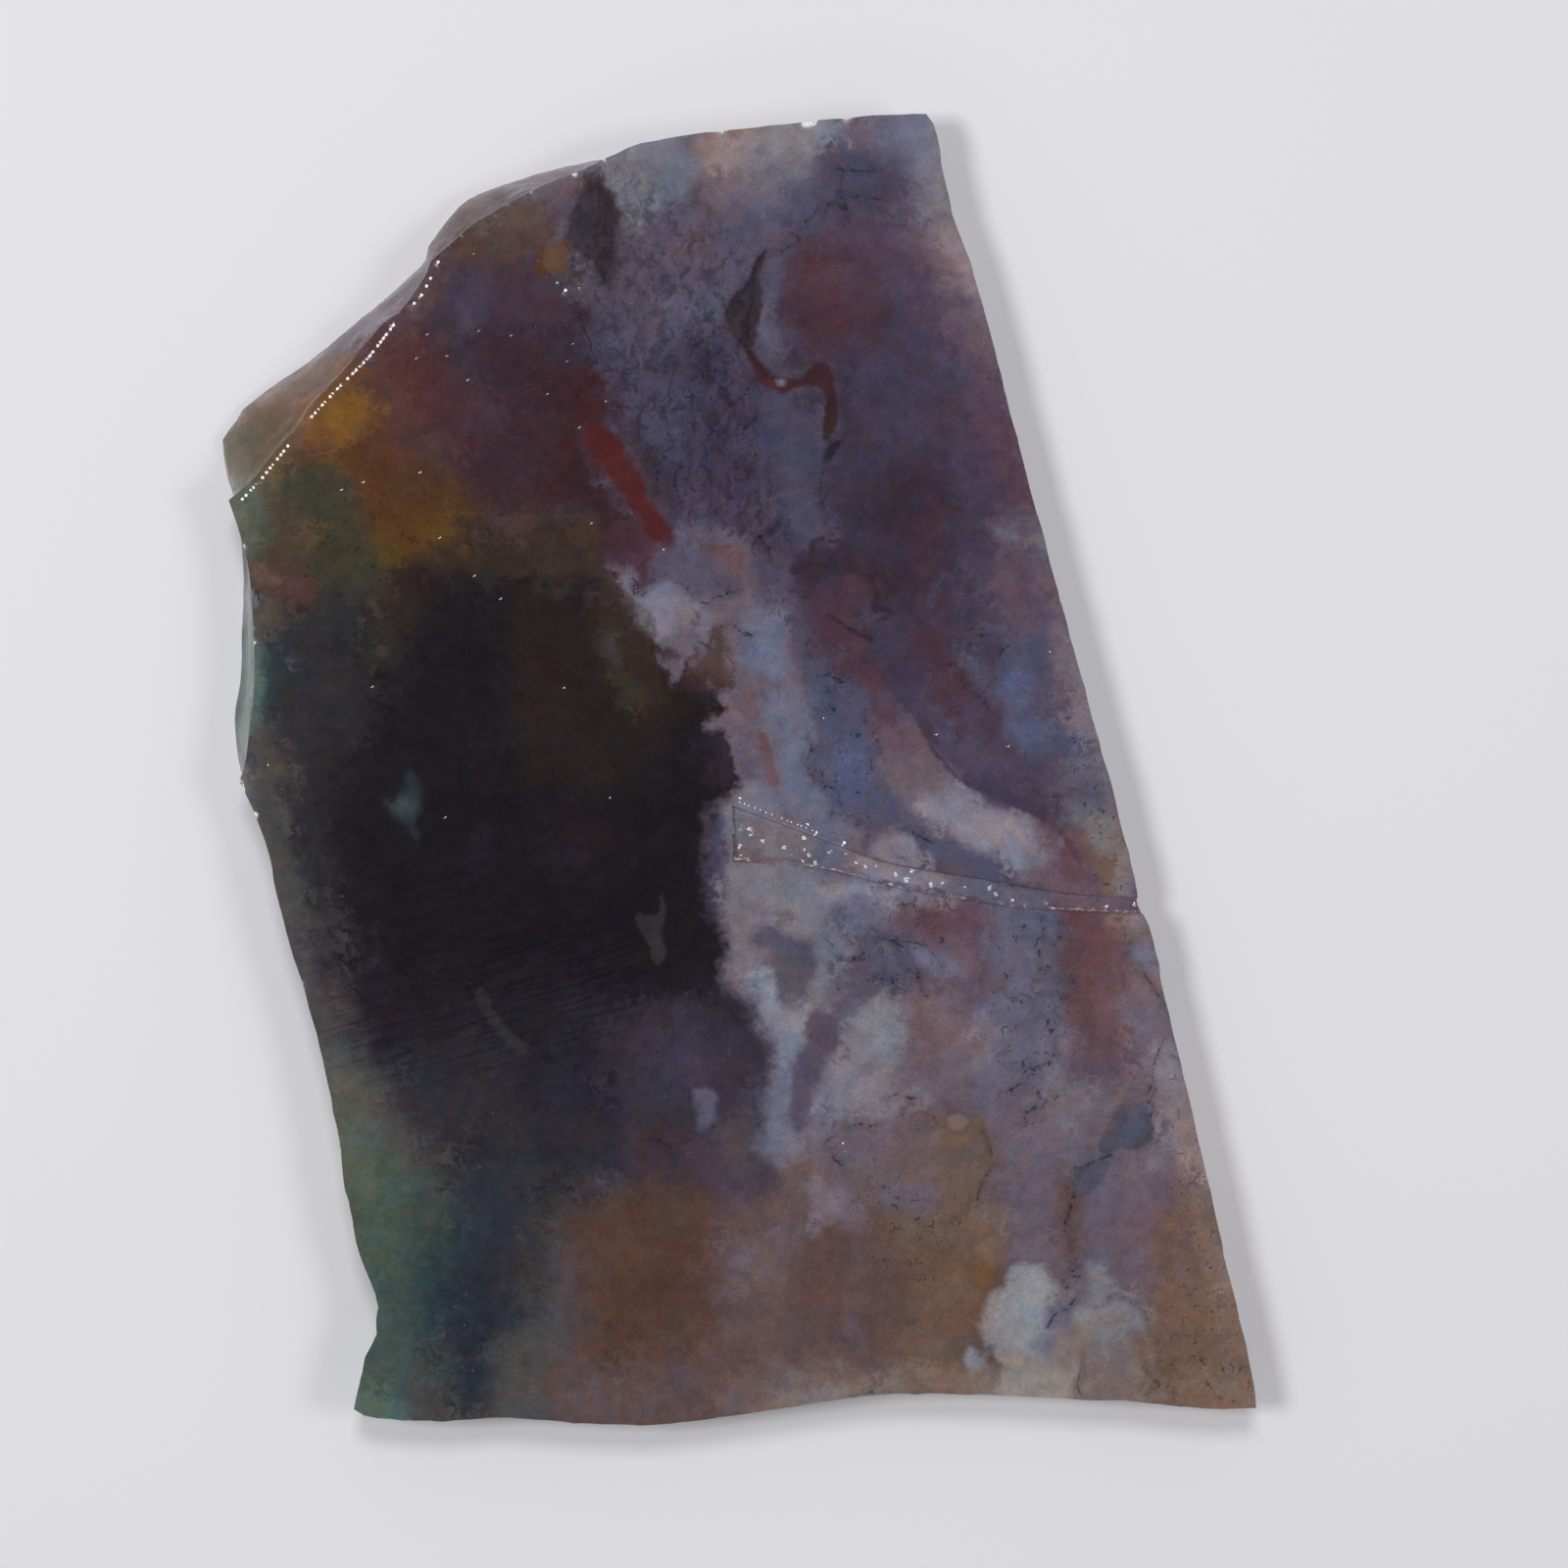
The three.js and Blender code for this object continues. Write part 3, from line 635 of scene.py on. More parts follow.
RIGHT_SIDE = [
    ("dusk", 1.4, 1.0, area((3.4, 38), (3, 43), (4.4, 48.4), (8, 50), (17.5, 50.8), (22, 49), (28, 32),
                            (28, 22), (21, 19), (21, 9), (15, 8), (9, 18), (9, 26), (9.2, 33), (8.3, 37))),
    ("heather", 2.0, 1.0, area((5, 48.6), (11, 50.4), (18, 50), (21, 44), (22, 38), (19, 39), (14, 43),
                               (9, 44), (6, 46))),
    ("dusk_red", 1.8, 1.0, area((5.4, 46.6), (8, 48.4), (12, 46.6), (13.4, 42), (12.4, 38.6), (8.6, 38.4),
                                (6, 39.4), (5, 43))),
    ("maroon", 1.4, 0.9, area((5.8, 46.4), (8.6, 46.6), (10.4, 44), (10, 40.4), (7, 40), (5, 41))),
    ("maroon_pink", 1.2, 0.35, spot(8, 45, 2.4, 1.6)),
    ("ash_violet", 0.8, 1.0, area((2.8, 47), (4.6, 47.8), (4.6, 44), (4, 41.4), (5, 38.6), (3, 37.4),
                                  (2.2, 40), (2.8, 43))),
    ("frost", 0.6, 0.45, area((2.8, 44), (3.8, 43), (3.8, 40.4), (4.4, 38.6), (3, 38.4), (2.6, 41))),
    ("violet_deep", 0.9, 0.9, area((4.6, 38.4), (7, 38), (10, 37.6), (10.6, 34), (10, 30), (9.4, 30.4),
                                   (9.4, 34.6), (8, 37.2), (6, 36.6))),
    ("heather_pale", 1.6, 0.9, area((14, 50), (18.6, 50), (21.6, 43), (23.6, 35.6), (21.4, 36.4), (18.4, 43),
                                    (15.6, 47.4))),
    ("wine_pale", 1.4, 0.8, area((17, 50), (19.6, 48), (21, 43), (19.4, 43), (17.4, 46.6))),
    ("ash_pink", 1.1, 0.9, area((17.6, 50), (19.4, 50), (21, 45), (19.4, 44.6))),
    ("pink_grey", 1.1, 0.9, area((18.8, 51.4), (21.4, 51), (23.4, 43.4), (22, 42.8), (20.4, 46))),
    ("pink_grey", 0.9, 0.9, spot(18.4, 53.8, 1, 2, -10)),
    ("peach", 0.8, 0.7, area((20.4, 48), (22, 48), (23, 43.6), (21.6, 43.6))),
    ("blush", 0.9, 0.8, area((17.6, 50.4), (19.6, 50.4), (20.4, 46), (18.6, 45.4))),
    ("rose_grey", 1.2, 0.9, area((20.8, 43.6), (24.2, 43), (26, 34.8), (24.4, 34.6), (22.6, 38.6))),
    ("slate_dark", 1.6, 0.9, area((9.6, 31.6), (13, 30), (18, 26.6), (19, 20), (16, 13.6), (12.6, 14.6),
                                  (9.6, 21), (8.6, 26))),
    ("plum_dark", 1.6, 0.7, area((13.6, 28), (19.4, 28), (20, 20), (17.4, 15), (14.6, 17), (13.4, 22))),
    ("plum", 1.2, 0.6, spot(19.6, 31.4, 1.6, 3)),
    ("slate_dark", 1.2, 0.5, spot(10.4, 33.4, 1, 1.6)),
    ("violet_deep", 0.7, 0.7, spot(7.2, 34.2, 1.3, 1)),
    ("heather", 1.4, 0.9, area((20.6, 35), (24, 34.6), (27, 25.6), (27.2, 21.4), (23.4, 22), (21.2, 27))),
    ("wine", 1.3, 0.8, area((22.4, 34), (25.6, 32), (28.4, 24.6), (26, 23.6), (23.6, 27))),
    ("rose_grey", 1.0, 0.9, band(1.8, (25.6, 35), (27.4, 29), (29.2, 22.6))),
    ("maroon", 1.2, 0.5, band(3.2, (17.6, 23), (18, 18.6), (17.4, 14))),
    ("dusk", 1.4, 0.9, area((20.4, 23.4), (24, 23.6), (23, 16), (25, 13), (24.4, 11), (21, 11.4),
                            (20.6, 17))),
    ("ash_violet", 1.0, 0.6, spot(23.6, 12, 1.2, 1.4)),
    ("heather_pale", 1.3, 1.0, area((23.4, 23), (27, 23.4), (30.4, 14.6), (28.6, 11.6), (25.8, 13.4),
                                    (24.4, 17.6))),
    ("blush", 1.0, 0.7, area((26.4, 22.4), (28.8, 22.4), (31, 14), (29.4, 13), (27.4, 18))),
    ("silver", 0.7, 0.6, band(1.1, (24.4, 21.6), (26.4, 21.4), (29, 20.6))),
    ("dusk", 1.0, 0.5, spot(22.4, 20.6, 0.8, 1.6)),
    ("ash_violet", 1.4, 1.0, area((20.3, 11), (24, 11.6), (28, 11), (31, 6), (32.5, 1), (27, 0.6),
                                  (24.5, 2.6), (22.5, 5.5))),
    ("blue_grey", 1.1, 1.0, area((24.4, 12), (27.4, 12), (27.6, 8), (28, 3), (26.4, 2.4), (24, 5), (24, 9))),
    ("blue", 0.8, 0.7, spot(21.6, 9.2, 1.1, 1.2)),
    ("blue", 0.7, 0.8, spot(25.3, 7, 1.1, 1.3)),
    ("blue", 0.8, 0.8, area((24.8, 4.2), (27.4, 5), (29.4, 3.6), (28.4, 1.6), (25.6, 2.6))),
    ("purple_grey", 1.0, 0.8, spot(28.4, 7.6, 0.8, 2.6)),
    ("rose_grey", 1.1, 1.0, area((28.6, 13.6), (32, 12), (36, -1), (32.4, 1), (30.4, 5), (29, 9))),
    ("heather_pale", 1.0, 0.8, band(1.4, (29.4, 11), (30.4, 7), (31, 3.6))),
    ("ash_pink", 0.8, 0.9, band(2.8, (30.6, 10.4), (31.8, 5.6), (33.6, 0.6))),
    ("purple_grey", 1.3, 1.0, area((18.5, 4.5), (22, 5), (26, 0.8), (33.5, 0.6), (32, -4.5), (27, -4.5),
                                   (21.5, -2), (18.5, 1.5))),
    ("dusk", 1.0, 0.7, spot(22.4, 10.6, 1.2, 1.6)),
    ("dusk", 0.9, 0.8, area((20, 1.6), (24, -0.4), (28, -1.6), (30.6, -4.6), (28, -4.6), (24.4, -2.8),
                            (21, -0.8))),
]

MIDDLE = [
    ("dusk", 1.4, 0.9, area((2, 21), (6, 21), (8, 15), (12, 8.5), (9, 8.6), (5.6, 13))),
    ("mauve", 1.1, 0.7, band(2.4, (3.4, 19), (4.4, 15.4), (6, 11.6))),
    ("dusk", 1.2, 0.9, area((11, 14.6), (15, 13.6), (17.4, 8), (19, 4.5), (17, 4), (14.6, 6.8), (12.6, 9.6))),
    ("plum_dark", 1.0, 0.8, area((5.3, 19.6), (9, 21), (13.4, 18.5), (13.4, 14), (10, 12), (7.4, 13.5),
                                 (6.4, 17))),
    ("dusk_red", 0.9, 1.0, area((7.4, 16), (9.4, 17.4), (12.4, 17.4), (12.8, 15), (11, 12), (9.4, 10.6),
                                (7.8, 12.6))),
    ("red_brown", 0.7, 0.35, spot(9.4, 13.8, 1.4, 1.4)),
    ("ash_violet", 0.6, 0.7, spot(12.4, 13.9, 1, 0.6)),
    ("dusk_red", 0.8, 1.0, band(2.8, (7.8, 15.4), (9, 13.5), (11.3, 10), (12.4, 7.5), (13.4, 5))),
    ("wine", 0.8, 1.0, band(2.2, (12.4, 7.6), (13.4, 5), (14.4, 2.6), (15.4, 0))),
    ("wine_pale", 0.8, 0.9, band(1.8, (14.2, 3), (15.2, 0), (15.8, -2.4))),
    ("wine_pale", 0.9, 0.8, band(2, (16.6, 4.4), (17.2, 2), (18, -0.4))),
    ("dusk_red", 1.1, 0.9, band(3, (17.4, 13.6), (18.6, 9.6), (20.4, 6.6), (22, 4.6))),
    ("heather", 1.0, 0.9, band(2.2, (21.4, 5.4), (23.4, 3), (25.5, 1))),
    ("blue_grey", 1.2, 1.0, area((6.8, 10), (9, 9.6), (11, 8), (13.2, 3), (14, -2.5), (12.6, -5), (9, -3.5),
                                 (7, -1), (6.6, 5))),
    ("blue", 1.2, 0.9, area((8.4, 2.6), (10.4, 3), (13, 0), (13, -3.6), (10.8, -4.2), (8.6, -2))),
    ("rose_grey", 1.0, 1.0, area((13.4, 0.6), (16.4, 1.6), (18.6, 1), (20.6, -0.8), (22.4, -2), (20, -4),
                                 (16.4, -4), (14.6, -2.6))),
    ("pink_grey", 1.0, 1.0, area((18, -1.8), (20.8, -1.2), (23.4, -3), (26.4, -4), (27.4, -5), (28.6, -6.6),
                                 (28.8, -8), (28, -9.6), (26, -9.8), (24, -8.8), (22.4, -7.6), (20.4, -6.6),
                                 (18.2, -5.4), (16.6, -4.4), (16.8, -2.8))),
    ("blush", 0.9, 0.6, area((17, -0.6), (19.6, -0.8), (20.6, -2.2), (18.4, -2.6))),
    ("wedge_pale", 0.9, 0.9, area((22.4, -4.8), (26, -5), (27.6, -6.6), (27.8, -8.2), (25.6, -8.4),
                                  (23, -7.2), (20.6, -5.8))),
    ("blue_grey", 0.7, 1.0, band(1.9, (12.8, -3), (14.4, -4.6), (16.2, -6.2), (18, -7.4), (20, -8),
                                 (22, -8.9), (23.4, -9.6))),
    ("wine_pale", 1.0, 1.0, area((27.6, -6.4), (30.4, -6), (33.4, -9), (34.6, -12.6), (30, -11.8),
                                 (27, -9.6))),
    ("wine", 0.7, 0.6, area((29.8, -6.6), (31, -7), (33.4, -10), (32, -11), (29.6, -9))),
    ("silver_blue", 0.8, 0.7, area((30.6, 1), (34, 0.6), (35, -4), (36.6, -11), (34.8, -9.6), (33, -6.6),
                                   (30.8, -4.6))),
    ("blush", 0.8, 0.9, area((33.4, -3), (35, -2), (37.6, -12), (36.4, -14.6), (34.8, -10))),
    ("stone_tan", 0.9, 0.8, spot(34.7, -7.4, 1, 2, 20)),
    ("blush", 0.8, 0.8, spot(28.4, -7.4, 1.1, 1.2)),
    ("purple_grey", 1.0, 0.5, spot(32, -1.8, 1.6, 1.4)),
    ("rose_brown", 0.6, 0.7, band(1.3, (30.8, -6), (32.8, -8), (34.2, -10.4), (34.6, -12.4), (36, -14.4),
                                  (37.8, -16))),
    ("tan_brown", 0.4, 0.8, band(0.6, (33, -8.2), (34.3, -10.4), (34.7, -12.4), (36, -14.2))),
]
LOWER_MIDDLE = [
    ("rose_grey", 1.3, 1.0, area((-4.6, 16), (-0.8, 15), (4.4, 13), (5.4, 7), (7, -2), (11, -6), (13, -12),
                                 (9.5, -15.5), (9, -21), (6.8, -26), (6, -32), (5.6, -35.5), (2, -37),
                                 (-4, -36), (-7, -20), (-7, -5), (-5, 6))),
    ("ash_pink", 1.0, 1.0, area((-1, -7.6), (4, -8.4), (9.4, -9.6), (14, -10.4), (12, -12), (9, -12.6),
                                (7, -14.6), (4.4, -14), (1.6, -14.6), (0, -17), (-1, -13))),
    ("silver", 1.0, 0.8, area((5, -10), (9.4, -10), (9.4, -12.4), (7.4, -14.4), (5.6, -14.6), (4.6, -12.4))),
    ("frost_white", 0.6, 0.7, area((11, -10.4), (15, -10.8), (15.6, -11.6), (12.4, -12.4), (11.4, -11.6))),
    ("slate", 0.7, 1.0, band(1.7, (-2, -4.2), (-2.3, -8), (-2.2, -11), (-1.4, -14.4))),
    ("silver_blue", 0.6, 0.5, band(0.9, (-0.6, -5.4), (-0.7, -8), (-0.6, -11), (-0.2, -14))),
    ("frost_white", 0.9, 0.4, area((-0.6, -15), (1.2, -15.4), (1.6, -17.4), (1.8, -19.4), (0.6, -19.6),
                                   (-0.6, -18))),
    ("ash_violet", 1.0, 1.0, area((8.4, -13.4), (10.4, -12.6), (14, -12.4), (16, -13.4), (15.6, -16),
                                  (17, -20.4), (14, -20.6), (10.6, -20), (9.6, -18), (10.2, -16),
                                  (8.8, -15))),
    ("lilac", 0.9, 0.9, area((9.6, -11.6), (14.4, -12), (14.6, -14.2), (11.6, -15.4), (9.8, -13.6))),
    ("blue_lilac", 0.8, 0.8, area((10, -16.6), (13, -16.6), (13.6, -20), (10.4, -19.6))),
    ("mauve_pale", 0.9, 0.9, spot(8.6, -20.9, 1.6, 0.8)),
    ("silver_blue", 0.9, 1.0, area((6.8, -14.8), (9.6, -15), (10, -18), (8.8, -20.2), (6.8, -21.2),
                                   (6.4, -19.6), (7.4, -17.4))),
    ("white", 0.9, 0.9, area((1.6, -18.6), (3.6, -18.6), (4.2, -20.6), (5.4, -22), (3.4, -22.4),
                             (1.6, -21.2))),
    ("frost_white", 0.9, 1.0, area((1.4, -21.4), (6.4, -21.4), (6.8, -22.4), (5.8, -25), (5, -27.6),
                                   (4.8, -30.4), (3.4, -29), (3.4, -26), (2.6, -23.8))),
    ("frost", 1.0, 1.0, area((1.8, -29), (4.8, -28.4), (5, -33), (5.8, -35.6), (4, -36.2), (2.4, -34.6),
                             (1.8, -32))),
    ("silver_blue", 0.9, 0.9, area((3, -32.6), (4.8, -32.6), (5.6, -35.4), (4, -36), (2.8, -34.6))),
    ("silver", 1.2, 1.0, area((9.8, -22.8), (12.8, -20.8), (15.6, -20.6), (16, -25), (14.8, -30.6),
                              (12.4, -33), (7.6, -31.6), (7.4, -30), (8.4, -27), (9.8, -25))),
    ("ash_pink", 1.0, 0.9, area((8, -28), (11.4, -25.8), (13.4, -27.6), (11, -30), (8, -30))),
    ("pink_grey", 0.9, 0.8, spot(10.8, -25, 1.3, 1.6)),
    ("pink_brown", 1.0, 0.8, spot(16.6, -31.4, 2, 0.9)),
    ("blue_pale", 0.8, 0.8, spot(7.2, -13.4, 1.6, 0.9, 15)),
    ("frost", 0.9, 0.5, area((10.8, -30), (14, -29.4), (14.4, -32), (11.6, -32.6))),
    ("blush", 1.4, 1.0, area((15.6, -20.6), (21, -20), (23, -24), (21.5, -30.5), (16.4, -31.5), (14.8, -27),
                             (16, -24))),
    ("rose_brown", 1.0, 0.4, spot(17.4, -24.4, 1.4, 3, 10)),
    ("wine_pale", 1.3, 1.0, area((14.6, -12), (22, -12.4), (24, -13.4), (23.6, -16), (23, -20.5), (21, -20),
                                 (17, -16.4))),
    ("wine", 1.0, 0.7, area((16, -12), (21.6, -12.4), (22.4, -15.4), (19, -15.6), (16.4, -14))),
    ("maroon_pink", 0.8, 0.5, spot(18.4, -14, 1.2, 0.8)),
    ("salmon", 0.7, 0.8, spot(21.4, -22.2, 0.6, 1)),
    ("pink_grey", 1.3, 0.8, area((22, -22.4), (24.4, -22.4), (24.6, -26.5), (22, -28), (21.8, -25))),
    ("pink_brown", 0.7, 0.9, spot(25.5, -25, 0.8, 1)),
    ("lilac", 1.2, 1.0, area((23.6, -12.4), (29.8, -12.6), (30.6, -20.5), (29.6, -22.5), (25, -21.5),
                             (23.8, -18))),
    ("blue", 1.1, 0.6, area((24.4, -13.6), (27.2, -13.4), (27.6, -18), (25, -18.6))),
    ("ash_violet", 1.0, 0.8, area((27.6, -14), (30, -14), (30.4, -21), (27.8, -21.4))),
    ("lilac", 1.3, 0.9, area((24, -21), (30.4, -21), (31, -31), (22, -32), (22.6, -28), (25, -26))),
    ("lilac_pale", 1.2, 0.8, area((28.6, -24), (31.6, -24), (34, -30), (31, -34), (28.6, -31))),
    ("brick", 1.5, 1.0, area((30.4, -13), (34.6, -13.2), (37, -18), (36, -24), (35.6, -31), (31.6, -28),
                             (30.6, -20))),
    ("heather_pale", 1.4, 0.8, area((30.4, -26), (35.8, -26.4), (36.4, -30), (32, -31))),
    ("wine", 1.2, 0.5, area((30.4, -12.6), (33, -13), (32.4, -17), (30.6, -17))),
    ("wine_pale", 1.2, 0.8, spot(35.6, -20, 1, 4)),
    ("pink_brown", 1.4, 1.0, area((36.4, -18), (38.6, -16), (42, -30), (36.6, -30), (35.8, -24))),
    ("mauve_pale", 1.2, 0.9, area((30, -29), (35.6, -29), (38, -31), (33, -34), (28, -38), (26, -33))),
    ("lilac", 1.0, 0.6, spot(37.4, -23.4, 1.6, 1.4)),
]

# The pale streak beside the dark mass, from the red streak down to the scar
PALE_STREAK = [
    ("rose_grey", 0.5, 1.0, area((-11.5, 20), (-9.6, 19.6), (-8.4, 16.9), (-7.4, 17.2), (-5.8, 18.4),
                                 (-4.8, 16.8), (-3.2, 15.2), (-1.4, 15.6), (0.2, 15.8), (1.6, 16),
                                 (3.2, 15.4), (4.4, 13), (5, 10), (6.2, 7), (6.4, 2), (6.4, -2), (2, -5),
                                 (-2, -3), (-1, 4), (0, 9), (-2, 13), (-6, 8), (-9, 13), (-11.4, 15.4))),
    ("lilac_pale", 0.8, 0.95, area((-9, 15.8), (-6.6, 16.6), (-4.4, 15.6), (-2.2, 14.4), (-3, 12.9),
                                   (-5, 12.4), (-6.6, 12.2), (-8.2, 12.8))),
    ("rose_grey", 0.8, 0.7, spot(-5.4, 11.4, 1.6, 1.2)),
    ("ash_pink", 0.6, 0.6, area((-10.8, 19.4), (-9.6, 19), (-9.4, 17), (-10.6, 16.6))),
    ("maroon", 0.6, 0.9, area((-11.8, 22), (-8, 22.4), (-7.4, 20.4), (-8.4, 19.6), (-9.4, 20),
                              (-11.2, 20.4))),
    ("maroon", 0.5, 0.9, area((-11.8, 21), (-9.2, 21), (-9.2, 19.2), (-10.6, 18.8), (-11.6, 19.6))),
    ("wine", 0.4, 0.6, spot(-10.4, 18.4, 0.7, 0.6)),
    ("maroon", 0.4, 0.9, band(1.1, (-9.2, 20.2), (-8.8, 18.6), (-8.3, 17.2))),
    ("mauve", 0.7, 0.9, area((-7.6, 19.6), (-6.4, 20.6), (-4.8, 19.8), (-5.2, 18), (-7, 17.6))),
    ("blue_lilac", 0.8, 0.6, spot(-5.6, 20.8, 1.4, 1.2)),
    ("rose_grey", 0.7, 0.9, area((-5.2, 22), (-2.6, 22.6), (0.2, 21.8), (1.6, 19.6), (1.6, 17), (-0.4, 18),
                                 (-2, 20), (-4.4, 20.8))),
    ("mauve", 0.5, 1.0, area((-4.9, 18.2), (-4.2, 19.6), (-2.6, 19.4), (-1.2, 18), (-0.5, 16.6), (-1.4, 16),
                             (-3.2, 15.9), (-4.4, 17))),
    ("salmon", 0.5, 1.0, band(1.2, (-2.9, 20.7), (-1.6, 20.3), (-0.4, 19.3), (0.3, 18.3))),
    ("rose_tan", 0.5, 0.6, band(0.9, (0.3, 18.3), (0.9, 17), (0.7, 15.4))),
    ("frost", 0.9, 1.0, area((1.6, 14.6), (3.6, 14.6), (4.4, 11), (4.6, 8.6), (3.2, 8.2), (1.2, 9),
                             (0.6, 11.4))),
    ("rose_grey", 0.6, 0.8, band(1.1, (-1.8, 14.2), (-0.4, 12.4), (0.4, 10.6), (0.8, 8.6))),
    ("plum", 0.3, 1.0, spot(-6.4, 10.6, 0.45, 0.5)),
    ("plum", 0.25, 0.7, spot(-3.7, 13.4, 0.4, 0.3)),
    ("mauve", 0.6, 0.8, area((-7.4, 10), (-6, 9.6), (-5.6, 8.6), (-6.4, 8.2), (-7.4, 9))),
    ("frost", 0.9, 1.0, area((2.2, 6.4), (4.4, 7.4), (6.4, 6.4), (6.6, 2), (6.4, -2), (4, -1), (3.6, 2),
                             (2.4, 4.4))),
    ("mauve", 0.7, 0.6, spot(3.2, 7.2, 0.7, 1)),
    ("heather_pale", 0.6, 0.7, spot(1.2, 6, 0.8, 1.6, 12)),
    ("mauve", 0.7, 0.7, area((0.2, 2.6), (1.6, 2.6), (2, -0.6), (0.6, -1))),
    ("frost", 0.8, 0.9, area((4, -1.6), (8, -1.8), (9.6, -4.4), (11, -6.8), (7, -5.4), (4, -4))),
    ("lilac_pale", 0.7, 0.9, area((12.8, -6.8), (13.6, -6), (15.8, -6.6), (16.8, -7.6), (16, -8.8),
                                  (13, -8.2))),
    ("rose_grey", 0.8, 0.9, area((2.2, -34.4), (5, -34.2), (5.4, -37), (3, -37.4))),
    ("lilac_pale", 0.7, 0.8, spot(7.4, -39.3, 1, 1)),
    ("frost_white", 0.8, 0.55, area((-0.8, -2.6), (1.6, -1.4), (3.4, -2.4), (4, -5), (1, -5), (-1.2, -4.6))),
]
